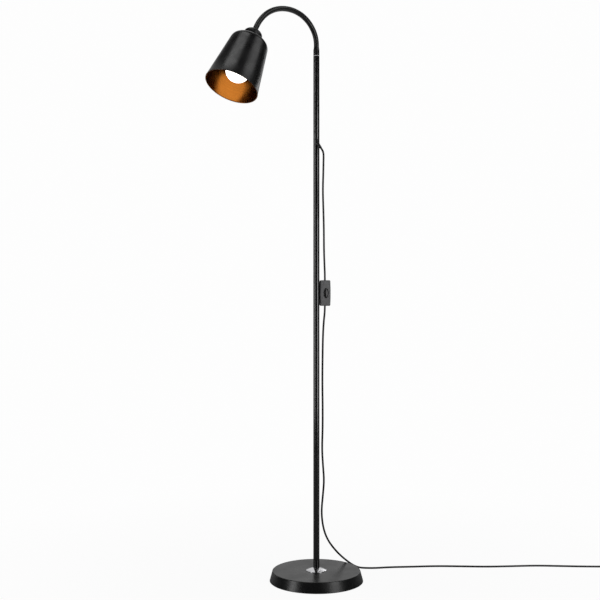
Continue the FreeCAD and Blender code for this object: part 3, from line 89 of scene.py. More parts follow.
# The switch hangs beside the pole. Its rocker, at rest, is tipped about its pin, in degrees; the
# pin lies in front of the switch's middle, and the middle of the rocker's crown in front of it.
SWITCH_PLACE = Matrix.Translation((0.0222164, 0.00104093, 0.7405)) @ Matrix.Rotation(
    math.radians(17), 4, "Z"
)
ROCKER_TIP = -6
ROCKER_PIN = -5.3 * MM
ROCKER_FACE = -3.2 * MM
CORD_RADIUS = 2.5 * MM

# Where the flex leaves the pole, and which way its bushing points.
BUSHING_START = Vector((0.002071, -0.007727, 1.1256))
BUSHING_WAY = Vector((0.454519, -0.541675, -0.707107))

# The flex's free routes, as in the part's source.
HANGING_ABOVE_SWITCH = [
    (0.010706, -0.018019, 1.112165),
    (0.016161, -0.024519, 1.103680),
    (0.0180, -0.0286, 1.0926),
    (0.0176, -0.0296, 1.0750),
    (0.0172, -0.0275, 1.0480),
    (0.0159, -0.0232, 1.0030),
    (0.0176, -0.0180, 0.9540),
    (0.0190, -0.0120, 0.9040),
    (0.0193, -0.0065, 0.8520),
    (0.0208, -0.0008, 0.8130),
    (0.021924, 0.001997, 0.7875),
    (0.021924, 0.001997, 0.7645),
]
HANGING_BELOW_SWITCH = [
    (0.021924, 0.001997, 0.7165),
    (0.021924, 0.001997, 0.6935),
    (0.0190, 0.0023, 0.6680),
    (0.0169, 0.0030, 0.6300),
    (0.0160, 0.0040, 0.5750),
    (0.0154, 0.0050, 0.5100),
    (0.0164, 0.0060, 0.4470),
    (0.0163, 0.0070, 0.3890),
    (0.0145, 0.0080, 0.3380),
    (0.0174, 0.0090, 0.2920),
    (0.0202, 0.0095, 0.2560),
    (0.0170, 0.0110, 0.2180),
    (0.0133, 0.0135, 0.1780),
    (0.0155, 0.0165, 0.1470),
    (0.0215, 0.0230, 0.1190),
    (0.0315, 0.0345, 0.0945),
    (0.0460, 0.0470, 0.0720),
    (0.0630, 0.0640, 0.0500),
    (0.0820, 0.0905, 0.0280),
    (0.0980, 0.0995, 0.0145),
    (0.1150, 0.1070, 0.0050),
]
LYING_ON_FLOOR = [
    (0.135, 0.111),
    (0.163, 0.111),
    (0.195, 0.119),
    (0.260, 0.124),
    (0.325, 0.131),
    (0.392, 0.128),
    (0.460, 0.124),
    (0.528, 0.129),
    (0.596, 0.136),
    (0.660, 0.131),
    (0.722, 0.1265),
    (0.780013, 0.124938),
]
INSIDE_POLE = [
    (0.010706, -0.018019, 1.112165),
    (-0.003019, -0.001661, 1.133518),
    (0, 0, 1.208),
    (0, 0, 1.290),
    (0, 0, 1.3616),
]

# The stored coil: it spirals in for half its turns, then out again one layer higher.
COIL_CENTRE = Vector((0.816, 0.158, 0))
COIL_TURNS = 3.25
COIL_INSIDE = 22.95 * MM
COIL_PITCH = 5.6 * MM
COIL_LOW = 3.6 * MM
RELIEF_END = Vector((0.849343, 0.203982, 0.007))
COIL_END_WAY = Vector((0.0281, 0.9996, 0)).normalized()

# The studio: how white the camera sees it, how far the floor reaches, what the lights face, and
# each light's name, place, width and height, power in watts, and target. One without a target
# points straight down, and its last number is its turn about the upright, in degrees.
WHITE = 0.985
FLOOR_REACH = 30
HEAD, MIDDLE, LOW = Vector((-0.2, -0.2, 1.3)), Vector((0, 0, 1.0)), Vector((0, 0, 0.8))
LIGHTS = [
    ("tall_light_left", (-1.9, -1.1, 1.0), (0.7, 1.7), 13.5, MIDDLE),
    ("tall_light_right", (1.48, -1.42, 0.88), (0.8, 1.46), 12.5, LOW),
    ("small_light_right", (1.1, -1.6, 2.2), (0.5, 0.5), 2.2, LOW),
    ("light_behind_right", (1.1, 2.1, 1.3), (0.8, 1.5), 3.5, MIDDLE),
    ("light_behind_left", (-1.7, 1.7, 1.4), (0.6, 1.6), 5, MIDDLE),
    ("high_light_right", (1.8, -0.4, 2.7), (1.3, 1.2), 7.5, HEAD),
    ("strip_light_above", (-0.44, -0.66, 3.3), (1.4, 0.6), 6.5, None, -37),
]

# How outlines are drawn: the widest step round a rounded corner, and how far beyond a round's
# ends its two guard points lie, which keep the flats beside it shaded flat.
ROUND_STEP = math.radians(14)
ROUND_GUARD = 1.2


def axes_at(spot, way, side):
    """Placement whose Z runs along a direction and whose X is nearest to another."""
    way = way.normalized()
    side = (side - way * side.dot(way)).normalized()
    turn = Matrix((side, way.cross(side), way)).transposed()
    return Matrix.Translation(spot) @ turn.to_4x4()


def neck_point(distance):
    """Centre and direction of the gooseneck, that far along it from its first joint."""
    spot, lean = FIRST_JOINT.copy(), 0.0
    if distance <= 0:
        return spot + UP * distance, UP.copy()
    for turn in LINK_TURNS:
        reach = min(distance, LINK_LENGTH)
        bend = math.radians(turn)
        radius, last = LINK_LENGTH / bend, lean + bend * reach / LINK_LENGTH
        spot += UP * (math.sin(last) - math.sin(lean)) * radius
        spot += OUTWARD * (math.cos(lean) - math.cos(last)) * radius
        lean = last
        distance -= reach
    way = UP * math.cos(lean) + OUTWARD * math.sin(lean)
    return spot + way * distance, way


NECK_LENGTH = LINK_LENGTH * len(LINK_TURNS)
NECK_END, NECK_END_WAY = neck_point(NECK_LENGTH)
HEAD_PLACE = axes_at(NECK_END + NECK_END_WAY * LAST_JOINT, -NECK_END_WAY, -ACROSS)


# ---------------------------------------------------------------- what a user would change


class ReadingLampSizes(bpy.types.PropertyGroup):
    """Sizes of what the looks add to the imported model."""

    rib_pitch: FloatProperty(
        name="Rib pitch",
        description="From one turn of the gooseneck's winding to the next",
        default=2.2 * MM,
        min=1 * MM,
        unit="LENGTH",
    )
    rib_depth: FloatProperty(
        name="Rib depth",
        description="Depth of the groove between two turns of the winding",
        default=0.2 * MM,
        min=0,
        unit="LENGTH",
    )
    sleeve_pitch: FloatProperty(
        name="Sleeve ring pitch",
        description="From one ring to the next on the flex's rubber sleeves",
        default=3 * MM,
        min=1 * MM,
        unit="LENGTH",
    )
    turning_steps: IntProperty(
        name="Turning steps",
        description="Facets round a turned piece",
        default=160,
        min=24,
    )
    socket_turns: IntProperty(
        name="Thread turns",
        description="Turns of the rolled thread on the bulb's screw cap",
        default=5,
        min=1,
    )


def colour_property(name, description, default):
    return FloatVectorProperty(
        name=name, description=description, default=default, subtype="COLOR", min=0, max=1
    )


class ReadingLampFinishes(bpy.types.PropertyGroup):
    """Colours and light of the lamp's finishes."""

    black_paint: colour_property(
        "Black paint", "Satin paint on the foot, gooseneck, cap and shade", (0.0075, 0.0075, 0.0078)
    )
    pole_paint: colour_property(
        "Pole paint", "Glossier black paint on the pole", (0.005, 0.005, 0.0052)
    )
    shade_lining: colour_property(
        "Shade lining", "Copper lacquer inside the shade", (0.25, 0.086, 0.0125)
    )
    switch_plastic: colour_property(
        "Switch plastic", "Moulded grey of the switch's housing", (0.13, 0.13, 0.134)
    )
    flex_plastic: colour_property(
        "Flex plastic", "Black sheath of the flex, its sleeves and the plug", (0.006, 0.006, 0.0064)
    )
    globe_light: FloatProperty(
        name="Globe light",
        description="How strongly the bulb's opal globe shines",
        default=2.2,
        min=0,
    )


# ---------------------------------------------------------------- node trees and finishes


class Wiring:
    """Adds nodes to a tree and feeds their inputs."""

    def __init__(self, tree):
        self.tree = tree

    def feed(self, node, inputs):
        """Each input, by name or number, is given a value or the output that feeds it."""
        for key, value in inputs.items():
            if isinstance(value, bpy.types.NodeSocket):
                self.tree.links.new(value, node.inputs[key])
            else:
                node.inputs[key].default_value = value

    def add(self, kind, inputs=None, **settings):
        """A new node; its settings are made before its inputs, since some of them add inputs."""
        node = self.tree.nodes.new(kind)
        for name, value in settings.items():
            setattr(node, name, value)
        self.feed(node, inputs or {})
        return node

    def math(self, operation, first, second=0.0):
        kind = "ShaderNodeMath"
        return self.add(kind, {0: first, 1: second}, operation=operation).outputs[0]

    def vector(self, operation, first, second=(0, 0, 0)):
        kind = "ShaderNodeVectorMath"
        return self.add(kind, {0: first, 1: second}, operation=operation).outputs[0]

    def noise(self, coordinates, scale, detail=2.0, roughness=0.5):
        """Noise with that many waves to the metre."""
        inputs = {"Vector": coordinates, "Scale": scale, "Detail": detail, "Roughness": roughness}
        return self.add("ShaderNodeTexNoise", inputs).outputs["Fac"]

    def between(self, value, low, high, start=0.3, end=0.7):
        """The value from start to end, spread from low to high."""
        inputs = {
            "Value": value,
            "From Min": start,
            "From Max": end,
            "To Min": low,
            "To Max": high,
        }
        return self.add("ShaderNodeMapRange", inputs).outputs["Result"]

    def bump(self, height, distance):
        inputs = {"Height": height, "Distance": distance, "Strength": 1.0}
        return self.add("ShaderNodeBump", inputs).outputs["Normal"]

    def captured(self, geometry, **fields):
        """A geometry's outputs with named fields kept on it, each with its kind and its source."""
        node = self.add("GeometryNodeCaptureAttribute")
        for name, (kind, _) in fields.items():
            node.capture_items.new(kind, name)
        sources = {name: source for name, (_, source) in fields.items()}
        self.feed(node, {"Geometry": geometry, **sources})
        return node.outputs


def new_finish(name):
    """An empty material with its wiring, its shader and the coordinates that its grain reads."""
    material = bpy.data.materials.new(name)
    material.use_nodes = True
    wiring = Wiring(material.node_tree)
    shader = material.node_tree.nodes["Principled BSDF"]
    coordinates = wiring.add("ShaderNodeTexCoord")
    return material, wiring, shader, coordinates


def tinted(colour, share):
    return (*[min(max(part * share, 0), 1) for part in colour], 1)


def mottled(wiring, shader, value, colour, spread):
    """The colour wanders a little between a darker and a lighter tone of itself."""
    # A colour mix reads its factor at 0 and its colours at 6 and 7, and gives its colour at 2.
    tones = {0: value, 6: tinted(colour, 1 - spread), 7: tinted(colour, 1 + spread)}
    mix = wiring.add("ShaderNodeMix", tones, data_type="RGBA")
    wiring.feed(shader, {"Base Color": mix.outputs[2]})


def grained(name, colour, rough, grain, depth, spread=0.12, wander=0.05, **more):
    """Paint or moulded plastic: fine grain in relief, and tone and gloss that wander a little."""
    material, wiring, shader, coordinates = new_finish(name)
    place = coordinates.outputs["Object"]
    broad = wiring.noise(place, 23, 3)
    fine = wiring.noise(place, 1 / grain, 2, 0.6)
    mottled(wiring, shader, wiring.between(broad, 0, 1), colour, spread)
    gloss = wiring.between(broad, rough - wander, rough + wander)
    wiring.feed(shader, {"Roughness": gloss, "Normal": wiring.bump(fine, depth), **more})
    return material


def spun(name, colour, rough, line, depth, spread=0.1, wander=0.06, **more):
    """A turned or spun surface: fine lines round the axis, read from the piece's own UV map."""
    material, wiring, shader, coordinates = new_finish(name)
    apart = wiring.add("ShaderNodeSeparateXYZ", {0: coordinates.outputs["UV"]})
    count = wiring.math("MULTIPLY", apart.outputs["Y"], 1 / line)
    inputs = {"W": count, "Scale": 1.0, "Detail": 3.0}
    lines = wiring.add("ShaderNodeTexNoise", inputs, noise_dimensions="1D").outputs["Fac"]
    broad = wiring.noise(coordinates.outputs["Object"], 31, 2)
    mottled(wiring, shader, wiring.between(lines, 0, 1), colour, spread)
    gloss = wiring.between(broad, rough - wander, rough + wander)
    wiring.feed(shader, {"Roughness": gloss, "Normal": wiring.bump(lines, depth), **more})
    return material


def opal(name, colour, light):
    """Opal glass lit from inside."""
    material, wiring, shader, coordinates = new_finish(name)
    place = coordinates.outputs["Object"]
    mottled(wiring, shader, wiring.noise(place, 40, 2), colour, 0.02)
    inputs = {
        "Normal": wiring.bump(wiring.noise(place, 700), 0.01 * MM),
        "Roughness": 0.3,
        "Emission Color": (1.0, 0.965, 0.9, 1),
        "Emission Strength": light,
    }
    wiring.feed(shader, inputs)
    return material


def make_finishes(colours):
    """Every finish of the lamp, by a plain name."""
    black = tuple(colours.black_paint)
    pole = tuple(colours.pole_paint)
    copper = tuple(colours.shade_lining)
    flex = tuple(colours.flex_plastic)
    grey = tuple(colours.switch_plastic)
    dull = (0.012, 0.012, 0.012)
    metal = {"Metallic": 1.0}
    # Name, colour, roughness, size and depth of the grain in millimetres, and what else it sets.
    grains = [
        ("foot_black", black, 0.3, 0.9, 0.02, {}),
        ("cap_black", black, 0.36, 0.8, 0.02, {}),
        ("pole_black", pole, 0.16, 12, 0.001, {"wander": 0.02, "Specular IOR Level": 1.0}),
        ("neck_black", black, 0.24, 0.5, 0.003, {}),
        ("bright_ring", (0.8, 0.8, 0.82), 0.4, 0.6, 0.005, {"Metallic": 0.55}),
        ("zinc", (0.6, 0.61, 0.63), 0.34, 0.6, 0.01, metal),
        ("brass", (0.78, 0.55, 0.24), 0.3, 0.7, 0.01, metal),
        ("cast_iron", (0.05, 0.05, 0.052), 0.7, 1.6, 0.2, {"Metallic": 0.4}),
        ("foam_pad", dull, 0.85, 0.7, 0.2, {}),
        ("holder_black", dull, 0.45, 0.6, 0.02, {}),
        ("ceramic", (0.78, 0.75, 0.69), 0.35, 1.5, 0.03, {}),
        ("bulb_white", (0.82, 0.82, 0.8), 0.35, 1.5, 0.01, {}),
        ("switch_grey", grey, 0.5, 0.9, 0.07, {"spread": 0.2}),
        ("rocker_black", (0.004, 0.004, 0.0045), 0.24, 0.6, 0.01, {}),
        ("flex_black", flex, 0.36, 0.8, 0.03, {}),
        ("rubber_black", flex, 0.5, 0.4, 0.04, {}),
        ("plug_black", flex, 0.38, 0.4, 0.04, {}),
        ("tie_black", dull, 0.5, 0.5, 0.03, {}),
    ]
    # The same with the pitch and depth of the turned lines.
    lines = [
        ("shade_black", black, 0.3, 1.1, 0.003, {}),
        ("shade_copper", copper, 0.23, 1.3, 0.008, {"spread": 0.16, **metal}),
        ("chrome", (0.86, 0.86, 0.88), 0.09, 0.4, 0.002, {"spread": 0.03, "wander": 0.03, **metal}),
        ("bulb_metal", (0.74, 0.74, 0.74), 0.24, 0.5, 0.004, metal),
    ]
    finishes = {"opal_globe": opal("opal_globe", (0.93, 0.93, 0.91), colours.globe_light)}
    for kind, rows in ((grained, grains), (spun, lines)):
        for name, colour, rough, size, depth, more in rows:
            finishes[name] = kind(name, colour, rough, size * MM, depth * MM, **more)
    return finishes


FINISHES = {}


def finish_named(name):
    if not FINISHES:
        FINISHES.update(make_finishes(bpy.context.scene.reading_lamp_finishes))
    return FINISHES[name]


# ---------------------------------------------------------------- meshes


def rounded(corners):
    """Outline points: a corner (radius, height) may have a third number, its round's radius."""
    points = []
    for i, corner in enumerate(corners):
        spot = Vector(corner[:2])
        if len(corner) < 3:
            points.append(spot)
            continue
        before = (Vector(corners[i - 1][:2]) - spot).normalized()
        after = (Vector(corners[(i + 1) % len(corners)][:2]) - spot).normalized()
        half = before.angle(after) / 2
        reach = corner[2] / math.tan(half)
        centre = spot + (before + after).normalized() * (corner[2] / math.sin(half))
        first, last = spot + before * reach - centre, spot + after * reach - centre
        turn = first.angle(last)
        steps = max(2, math.ceil(turn / ROUND_STEP))
        points.append(spot + before * reach * ROUND_GUARD)
        for k in range(steps + 1):
            share = k / steps
            both = first * math.sin((1 - share) * turn) + last * math.sin(share * turn)
            points.append(centre + both / math.sin(turn))
        points.append(spot + after * reach * ROUND_GUARD)
    return points


def arc(centre, radius, start, end, steps):
    """Outline points along an arc, its angles in degrees from the outline's radius."""
    angles = [math.radians(start + (end - start) * i / steps) for i in range(steps + 1)]
    return [Vector(centre) + Vector((math.cos(a), math.sin(a))) * radius for a in angles]


def bowed(start, end, radius, steps):
    """Outline points after the first, up to the last, along a low bow of about that radius.

    It bows to the left of the way, or to the right if the radius is negative.
    """
    start, end = Vector(start), Vector(end)
    chord = end - start
    sag = abs(radius) - math.sqrt(radius * radius - chord.length_squared / 4)
    aside = Vector((-chord.y, chord.x)).normalized() * math.copysign(sag, radius)
    shares = [i / steps for i in range(1, steps + 1)]
    return [start + chord * t + aside * 4 * t * (1 - t) for t in shares]


def in_mm(points):
    return [tuple(part * MM for part in point) for point in points]


def linked(name, data):
    """A new object in the scene."""
    piece = bpy.data.objects.new(name, data)
    bpy.context.scene.collection.objects.link(piece)
    return piece


def new_piece(name, data, finish):
    data.materials.append(finish_named(finish))
    return linked(name, data)


def turned(name, outline, material, place=Matrix(), corner=32):
    """A closed outline turned about the axis; its UV map holds the turn and the way along it."""
    steps = bpy.context.scene.reading_lamp_sizes.turning_steps
    points = [Vector(point[:2]) for point in outline]
    count = len(points)
    area = sum(a.x * b.y - b.x * a.y for a, b in zip(points, points[1:] + points[:1]))
    spots, rings = [], []
    for point in points:
        on_axis = point.x < 1e-7
        rings.append((len(spots), on_axis))
        for j in range(1 if on_axis else steps):
            angle = 2 * math.pi * j / steps
            spots.append((point.x * math.cos(angle), point.x * math.sin(angle), point.y))
    lengths = [0.0]
    for a, b in zip(points, points[1:] + points[:1]):
        lengths.append(lengths[-1] + (b - a).length)
    faces, maps = [], []
    for i in range(count):
        k = (i + 1) % count
        if rings[i][1] and rings[k][1]:
            continue
        for j in range(steps):
            spans = [(i, j), (i, j + 1), (k, j + 1), (k, j)]
            if area < 0:
                spans.reverse()
            face, spot_map = [], []
            for ring, turn in spans:
                start, single = rings[ring]
                index = start if single else start + turn % steps
                if index not in face:
                    face.append(index)
                    along = lengths[i] if ring == i else lengths[i + 1]
                    spot_map.append((turn / steps, along))
            faces.append(face)
            maps += spot_map
    mesh = bpy.data.meshes.new(name)
    mesh.from_pydata(spots, [], faces)
    layer = mesh.uv_layers.new(name="turn_and_length")
    layer.data.foreach_set("uv", [part for pair in maps for part in pair])
    mesh.transform(place)
    mesh.shade_smooth()
    mesh.set_sharp_from_angle(angle=math.radians(corner))
    return new_piece(name, mesh, material)


def dressed(finish, *nodes):
    """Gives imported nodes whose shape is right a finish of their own."""
    for node in nodes:
        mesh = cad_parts[node].data
        mesh.materials.clear()
        mesh.materials.append(finish_named(finish))


def stands_for(piece, node, body):
    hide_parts(*([node] if isinstance(node, str) else node))
    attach(piece, body)
    return piece


# ---------------------------------------------------------------- ribbed hoses, by geometry nodes


def ribbed_hose_tree():
    """A tree that makes a stretch of round hose along a line of edges.

    Its turns of winding, or its rings, count from the line's start, so that two stretches that
    meet on one line join without a step.
    """
    tree = bpy.data.node_groups.new("ribbed_hose", "GeometryNodeTree")
    sockets = [
        ("Line", "NodeSocketGeometry", None),
        ("From", "NodeSocketFloat", 0.0),
        ("To", "NodeSocketFloat", 0.1),
        ("First Radius", "NodeSocketFloat", 0.005),
        ("Last Radius", "NodeSocketFloat", 0.005),
        ("Rib Pitch", "NodeSocketFloat", 0.002),
        ("Rib Depth", "NodeSocketFloat", 0.0003),
        ("Winding", "NodeSocketFloat", 1.0),
        ("Plain Ends", "NodeSocketFloat", 0.0),
        ("Around", "NodeSocketInt", 40),
        ("Steps per Rib", "NodeSocketFloat", 6.0),
        ("Side", "NodeSocketVector", (1, 0, 0)),
        ("Finish", "NodeSocketMaterial", None),
    ]
    for name, kind, default in sockets:
        socket = tree.interface.new_socket(name, in_out="INPUT", socket_type=kind)
        if default is not None:
            socket.default_value = default
    tree.interface.new_socket("Hose", in_out="OUTPUT", socket_type="NodeSocketGeometry")
    w = Wiring(tree)
    given = w.add("NodeGroupInput").outputs
    line = w.add("GeometryNodeMeshToCurve", {0: given["Line"]}).outputs[0]
    facing = {"Curve": line, "Normal": given["Side"]}
    line = w.add("GeometryNodeSetCurveNormal", facing, mode="FREE").outputs[0]
    # The trim's inputs 4 and 5 are its start and end as lengths.
    span = {"Curve": line, 4: given["From"], 5: given["To"]}
    line = w.add("GeometryNodeTrimCurve", span, mode="LENGTH").outputs[0]
    step = w.math("DIVIDE", given["Rib Pitch"], given["Steps per Rib"])
    steps = {"Curve": line, "Length": step}
    line = w.add("GeometryNodeResampleCurve", steps, mode="LENGTH").outputs[0]
    along = w.add("GeometryNodeSplineParameter").outputs["Length"]
    centre = w.add("GeometryNodeInputPosition").outputs[0]
    line = w.captured(line, Along=("FLOAT", along), Centre=("VECTOR", centre))
    along, centre = line["Along"], line["Centre"]
    size = {"Resolution": given["Around"], "Radius": given["First Radius"]}
    ring = w.add("GeometryNodeCurvePrimitiveCircle", size).outputs["Curve"]
    turn = w.add("GeometryNodeSplineParameter").outputs["Factor"]
    ring = w.captured(ring, Turn=("FLOAT", turn))
    sweep = {"Fill Caps": True, "Curve": line["Geometry"], "Profile Curve": ring["Geometry"]}
    hose = w.add("GeometryNodeCurveToMesh", sweep).outputs[0]
    # The groove between two turns follows the height of half a sine wave, sharpened.
    place = w.math("ADD", along, given["From"])
    lead = w.math("MULTIPLY", ring["Turn"], given["Winding"])
    phase = w.math("SUBTRACT", w.math("DIVIDE", place, given["Rib Pitch"]), lead)
    wave = w.math("SINE", w.math("MULTIPLY", phase, math.pi))
    crest = w.math("POWER", w.math("ABSOLUTE", wave), 0.55)
    groove = w.math("MULTIPLY", w.math("SUBTRACT", 1.0, crest), given["Rib Depth"])
    # No groove is cut nearer to an end than the plain ends reach.
    length = w.math("SUBTRACT", given["To"], given["From"])
    margin = w.math("MINIMUM", along, w.math("SUBTRACT", length, along))
    ribbed = w.math("GREATER_THAN", margin, w.math("SUBTRACT", given["Plain Ends"], 1e-6))
    groove = w.math("MULTIPLY", groove, ribbed)
    taper = w.math("SUBTRACT", given["Last Radius"], given["First Radius"])
    taper = w.math("MULTIPLY", taper, w.math("DIVIDE", along, length))
    radius = w.math("SUBTRACT", w.math("ADD", given["First Radius"], taper), groove)
    spot = w.add("GeometryNodeInputPosition").outputs[0]
    way = w.vector("NORMALIZE", w.vector("SUBTRACT", spot, centre))
    out = w.add("ShaderNodeVectorMath", {0: way, "Scale": radius}, operation="SCALE").outputs[0]
    moved = {"Geometry": hose, "Position": w.vector("ADD", centre, out)}
    hose = w.add("GeometryNodeSetPosition", moved).outputs[0]
    hose = w.add("GeometryNodeSetShadeSmooth", {"Geometry": hose}).outputs[0]
    hose = w.add("GeometryNodeRealizeInstances", {"Geometry": hose}).outputs[0]
    paint = {"Geometry": hose, "Material": given["Finish"]}
    hose = w.add("GeometryNodeSetMaterial", paint).outputs[0]
    w.add("NodeGroupOutput", {0: hose})
    return tree


def grown(name, tree, values, host_mesh):
    """Runs a geometry tree on a mesh and keeps the plain mesh that comes out."""
    host = linked(name, host_mesh)
    modifier = host.modifiers.new("grow", "NODES")
    modifier.node_group = tree
    known = {
        item.name: item.identifier
        for item in tree.interface.items_tree
        if item.item_type == "SOCKET" and item.in_out == "INPUT"
    }
    for key, value in values.items():
        modifier[known[key]] = value
    graph = bpy.context.evaluated_depsgraph_get()
    graph.update()
    mesh = bpy.data.meshes.new_from_object(host.evaluated_get(graph), depsgraph=graph)
    host.modifiers.remove(modifier)
    host.data = mesh
    mesh.name = name
    bpy.data.meshes.remove(host_mesh)
    return host


def line_mesh(name, spots):
    mesh = bpy.data.meshes.new(name)
    mesh.from_pydata(spots, [(i, i + 1) for i in range(len(spots) - 1)], [])
    return mesh


def hose_tree():
    return bpy.data.node_groups.get("ribbed_hose") or ribbed_hose_tree()


def ribbed_sleeve(name, start, way, length, radii):
    """A tapered rubber sleeve with rings, round a straight piece of flex."""
    sizes = bpy.context.scene.reading_lamp_sizes
    way = way.normalized()
    spots = [start, start + way * length]
    values = {
        "To": length,
        "First Radius": radii[0],
        "Last Radius": radii[1],
        "Rib Pitch": sizes.sleeve_pitch,
        "Rib Depth": 0.5 * MM,
        "Winding": 0.0,
        "Plain Ends": sizes.sleeve_pitch,
        "Steps per Rib": 8.0,
        "Side": way.orthogonal().normalized(),
        "Finish": finish_named("rubber_black"),
    }
    return grown(name, hose_tree(), values, line_mesh(name, spots))


# ---------------------------------------------------------------- flex


def laid_flex(name, points):
    """A run of flex: a smooth spline through its listed control points."""
    curve = bpy.data.curves.new(name, "CURVE")
    curve.dimensions = "3D"
    spline = curve.splines.new("NURBS")
    spline.points.add(len(points) - 1)
    for point, spot in zip(spline.points, points):
        point.co = (*spot, 1)
    spline.order_u = 3
    spline.use_endpoint_u = True
    curve.resolution_u = 10
    curve.bevel_depth = CORD_RADIUS
    curve.bevel_resolution = 5
    curve.use_fill_caps = True
    return new_piece(name, curve, "flex_black")


def coil_points(per_turn=16):
    """Control points of the coil's turns."""
    points = []
    count = round(COIL_TURNS * per_turn)
    for i in range(count + 1):
        turn = COIL_TURNS * i / count
        angle = 2 * math.pi * turn - math.pi / 2
        share = min(max((turn - COIL_TURNS / 2) / 0.5 + 0.5, 0), 1)
        radius = COIL_INSIDE + COIL_PITCH * abs(turn - COIL_TURNS / 2)
        radius /= math.cos(math.pi / per_turn)
        height = COIL_LOW + COIL_PITCH * share * share * (3 - 2 * share)
        spot = COIL_CENTRE + UP * height
        points.append(spot + Vector((math.cos(angle), math.sin(angle), 0)) * radius)
    return points


# ---------------------------------------------------------------- operators


class LampOperator:
    """What the lamp's operators share."""

    bl_options = {"REGISTER", "UNDO"}

    def execute(self, context):
        self.build(context)
        return {"FINISHED"}


class READINGLAMP_OT_camera(LampOperator, bpy.types.Operator):
    """Set the camera level, in front of the lamp, and the colour view"""

    bl_idname = "reading_lamp.camera"
    bl_label = "Camera"

    def build(self, context):
        data = bpy.data.cameras.new("camera")
        data.lens, data.sensor_width = 59.6, 36
        data.clip_start, data.clip_end = 0.05, 100
        camera = linked("camera", data)
        camera.location = (-0.0422, -2.558, 0.7226)
        camera.rotation_euler = (math.pi / 2, 0, 0)
        context.scene.camera = camera
        context.scene.view_settings.view_transform = "Standard"


class READINGLAMP_OT_flex(LampOperator, bpy.types.Operator):
    """Lay the flex: out of the pole to the switch, down, along the floor and into its coil"""

    bl_idname = "reading_lamp.flex"
    bl_label = "Flex"

    def build(self, context):
        upper = laid_flex("flex_above_switch", HANGING_ABOVE_SWITCH)
        stands_for(upper, "cord_upper", "stand")
        points = [Vector(spot) for spot in HANGING_BELOW_SWITCH]
        points += [Vector((x, y, CORD_RADIUS)) for x, y in LYING_ON_FLOOR]
        points += [Vector((0.810002, 0.125781, COIL_LOW))]
        turns = coil_points()
        last = turns[-1] + COIL_END_WAY * 6 * MM
        drop = RELIEF_END - COIL_END_WAY * 12 * MM
        points += turns + [last, last + COIL_END_WAY * 12 * MM, drop, RELIEF_END]
        lower = laid_flex("flex_below_switch", points)
        stands_for(lower, ["cord_lower", "cord_coil", "cord_tail"], "stand")
        inside = laid_flex("flex_inside_pole", INSIDE_POLE)
        stands_for(inside, "pole_flex", "stand")


class READINGLAMP_OT_foot(LampOperator, bpy.types.Operator):
    """Turn the foot's pressed cover and pad, and finish what lies inside it"""

    bl_idname = "reading_lamp.foot"
    bl_label = "Foot"

    def build(self, context):
        cover = [
            (118.8, 0.8),
            (120.3, 0.8, 0.35),
            (113, 27, 2.5),
            (5.3, 27),
            (5.3, 25.5),
            (111.9, 25.5, 1.6),
        ]
        piece = turned("foot_cover", in_mm(rounded(cover)), "foot_black")
        stands_for(piece, "base_cover", "stand")
        pad = [(0, 0), (114, 0, 0.6), (114, 2, 0.6), (0, 2)]
        piece = turned("foot_pad", in_mm(rounded(pad)), "foam_pad")
        stands_for(piece, "base_pad", "stand")
        dressed("cast_iron", "base_weight")
        dressed("zinc", "base_plate", "foot_stud", "foot_nut", "foot_washer")


class READINGLAMP_OT_pole(LampOperator, bpy.types.Operator):
    """Turn the pole's three screwed tubes, the collar at its foot and the ring at its top"""

    bl_idname = "reading_lamp.pole"
    bl_label = "Pole"

    def build(self, context):
        names = ["pole_lower", "pole_middle", "pole_upper"]
        for name, low, high in zip(names, POLE_JOINTS, POLE_JOINTS[1:]):
            edge = 0.35 * MM
            outline = [
                (POLE_BORE, low, edge),
                (POLE_RADIUS, low, edge),
                (POLE_RADIUS, high, edge),
                (POLE_BORE, high, edge),
            ]
            piece = turned(name + "_tube", rounded(outline), "pole_black")
            stands_for(piece, name, "stand")
        collar = [(8.15, 27), (26.2, 27, 0.15), (26.2, 27.9, 0.2), (8.85, 33.6, 0.4), (8.15, 33.6)]
        collar = self.crowned(rounded(collar))
        piece = turned("pole_foot_collar", in_mm(collar), "chrome", corner=24)
        stands_for(piece, "pole_collar", "stand")
        ring = [(5.3, 1350), (7.9, 1350, 0.15), (7.9, 1351.8, 0.15), (5.3, 1351.8)]
        piece = turned("bright_neck_ring", in_mm(rounded(ring)), "bright_ring")
        stands_for(piece, "neck_ring", "stand")
        dressed("zinc", "pole_couplers", "pole_inserts")

    def crowned(self, points):
        """The collar's outline with its straight slope made a low crown."""
        foot, top, crown = (26.0, 27.95), (9.1, 33.5), 60
        kept = [point for point in points if not (top[0] < point.x < foot[0] and point.y > 28)]
        cut = max(i for i, point in enumerate(kept) if point.x > 20)
        return kept[: cut + 1] + bowed(foot, top, -crown, 12)[:-1] + kept[cut + 1 :]


class READINGLAMP_OT_bushing(LampOperator, bpy.types.Operator):
    """Make the ringed rubber sleeve where the flex leaves the pole"""

    bl_idname = "reading_lamp.bushing"
    bl_label = "Bushing"

    def build(self, context):
        radii = (4.6 * MM, 3.1 * MM)
        piece = ribbed_sleeve("flex_bushing", BUSHING_START, BUSHING_WAY, 19 * MM, radii)
        stands_for(piece, "cord_bushing", "stand")


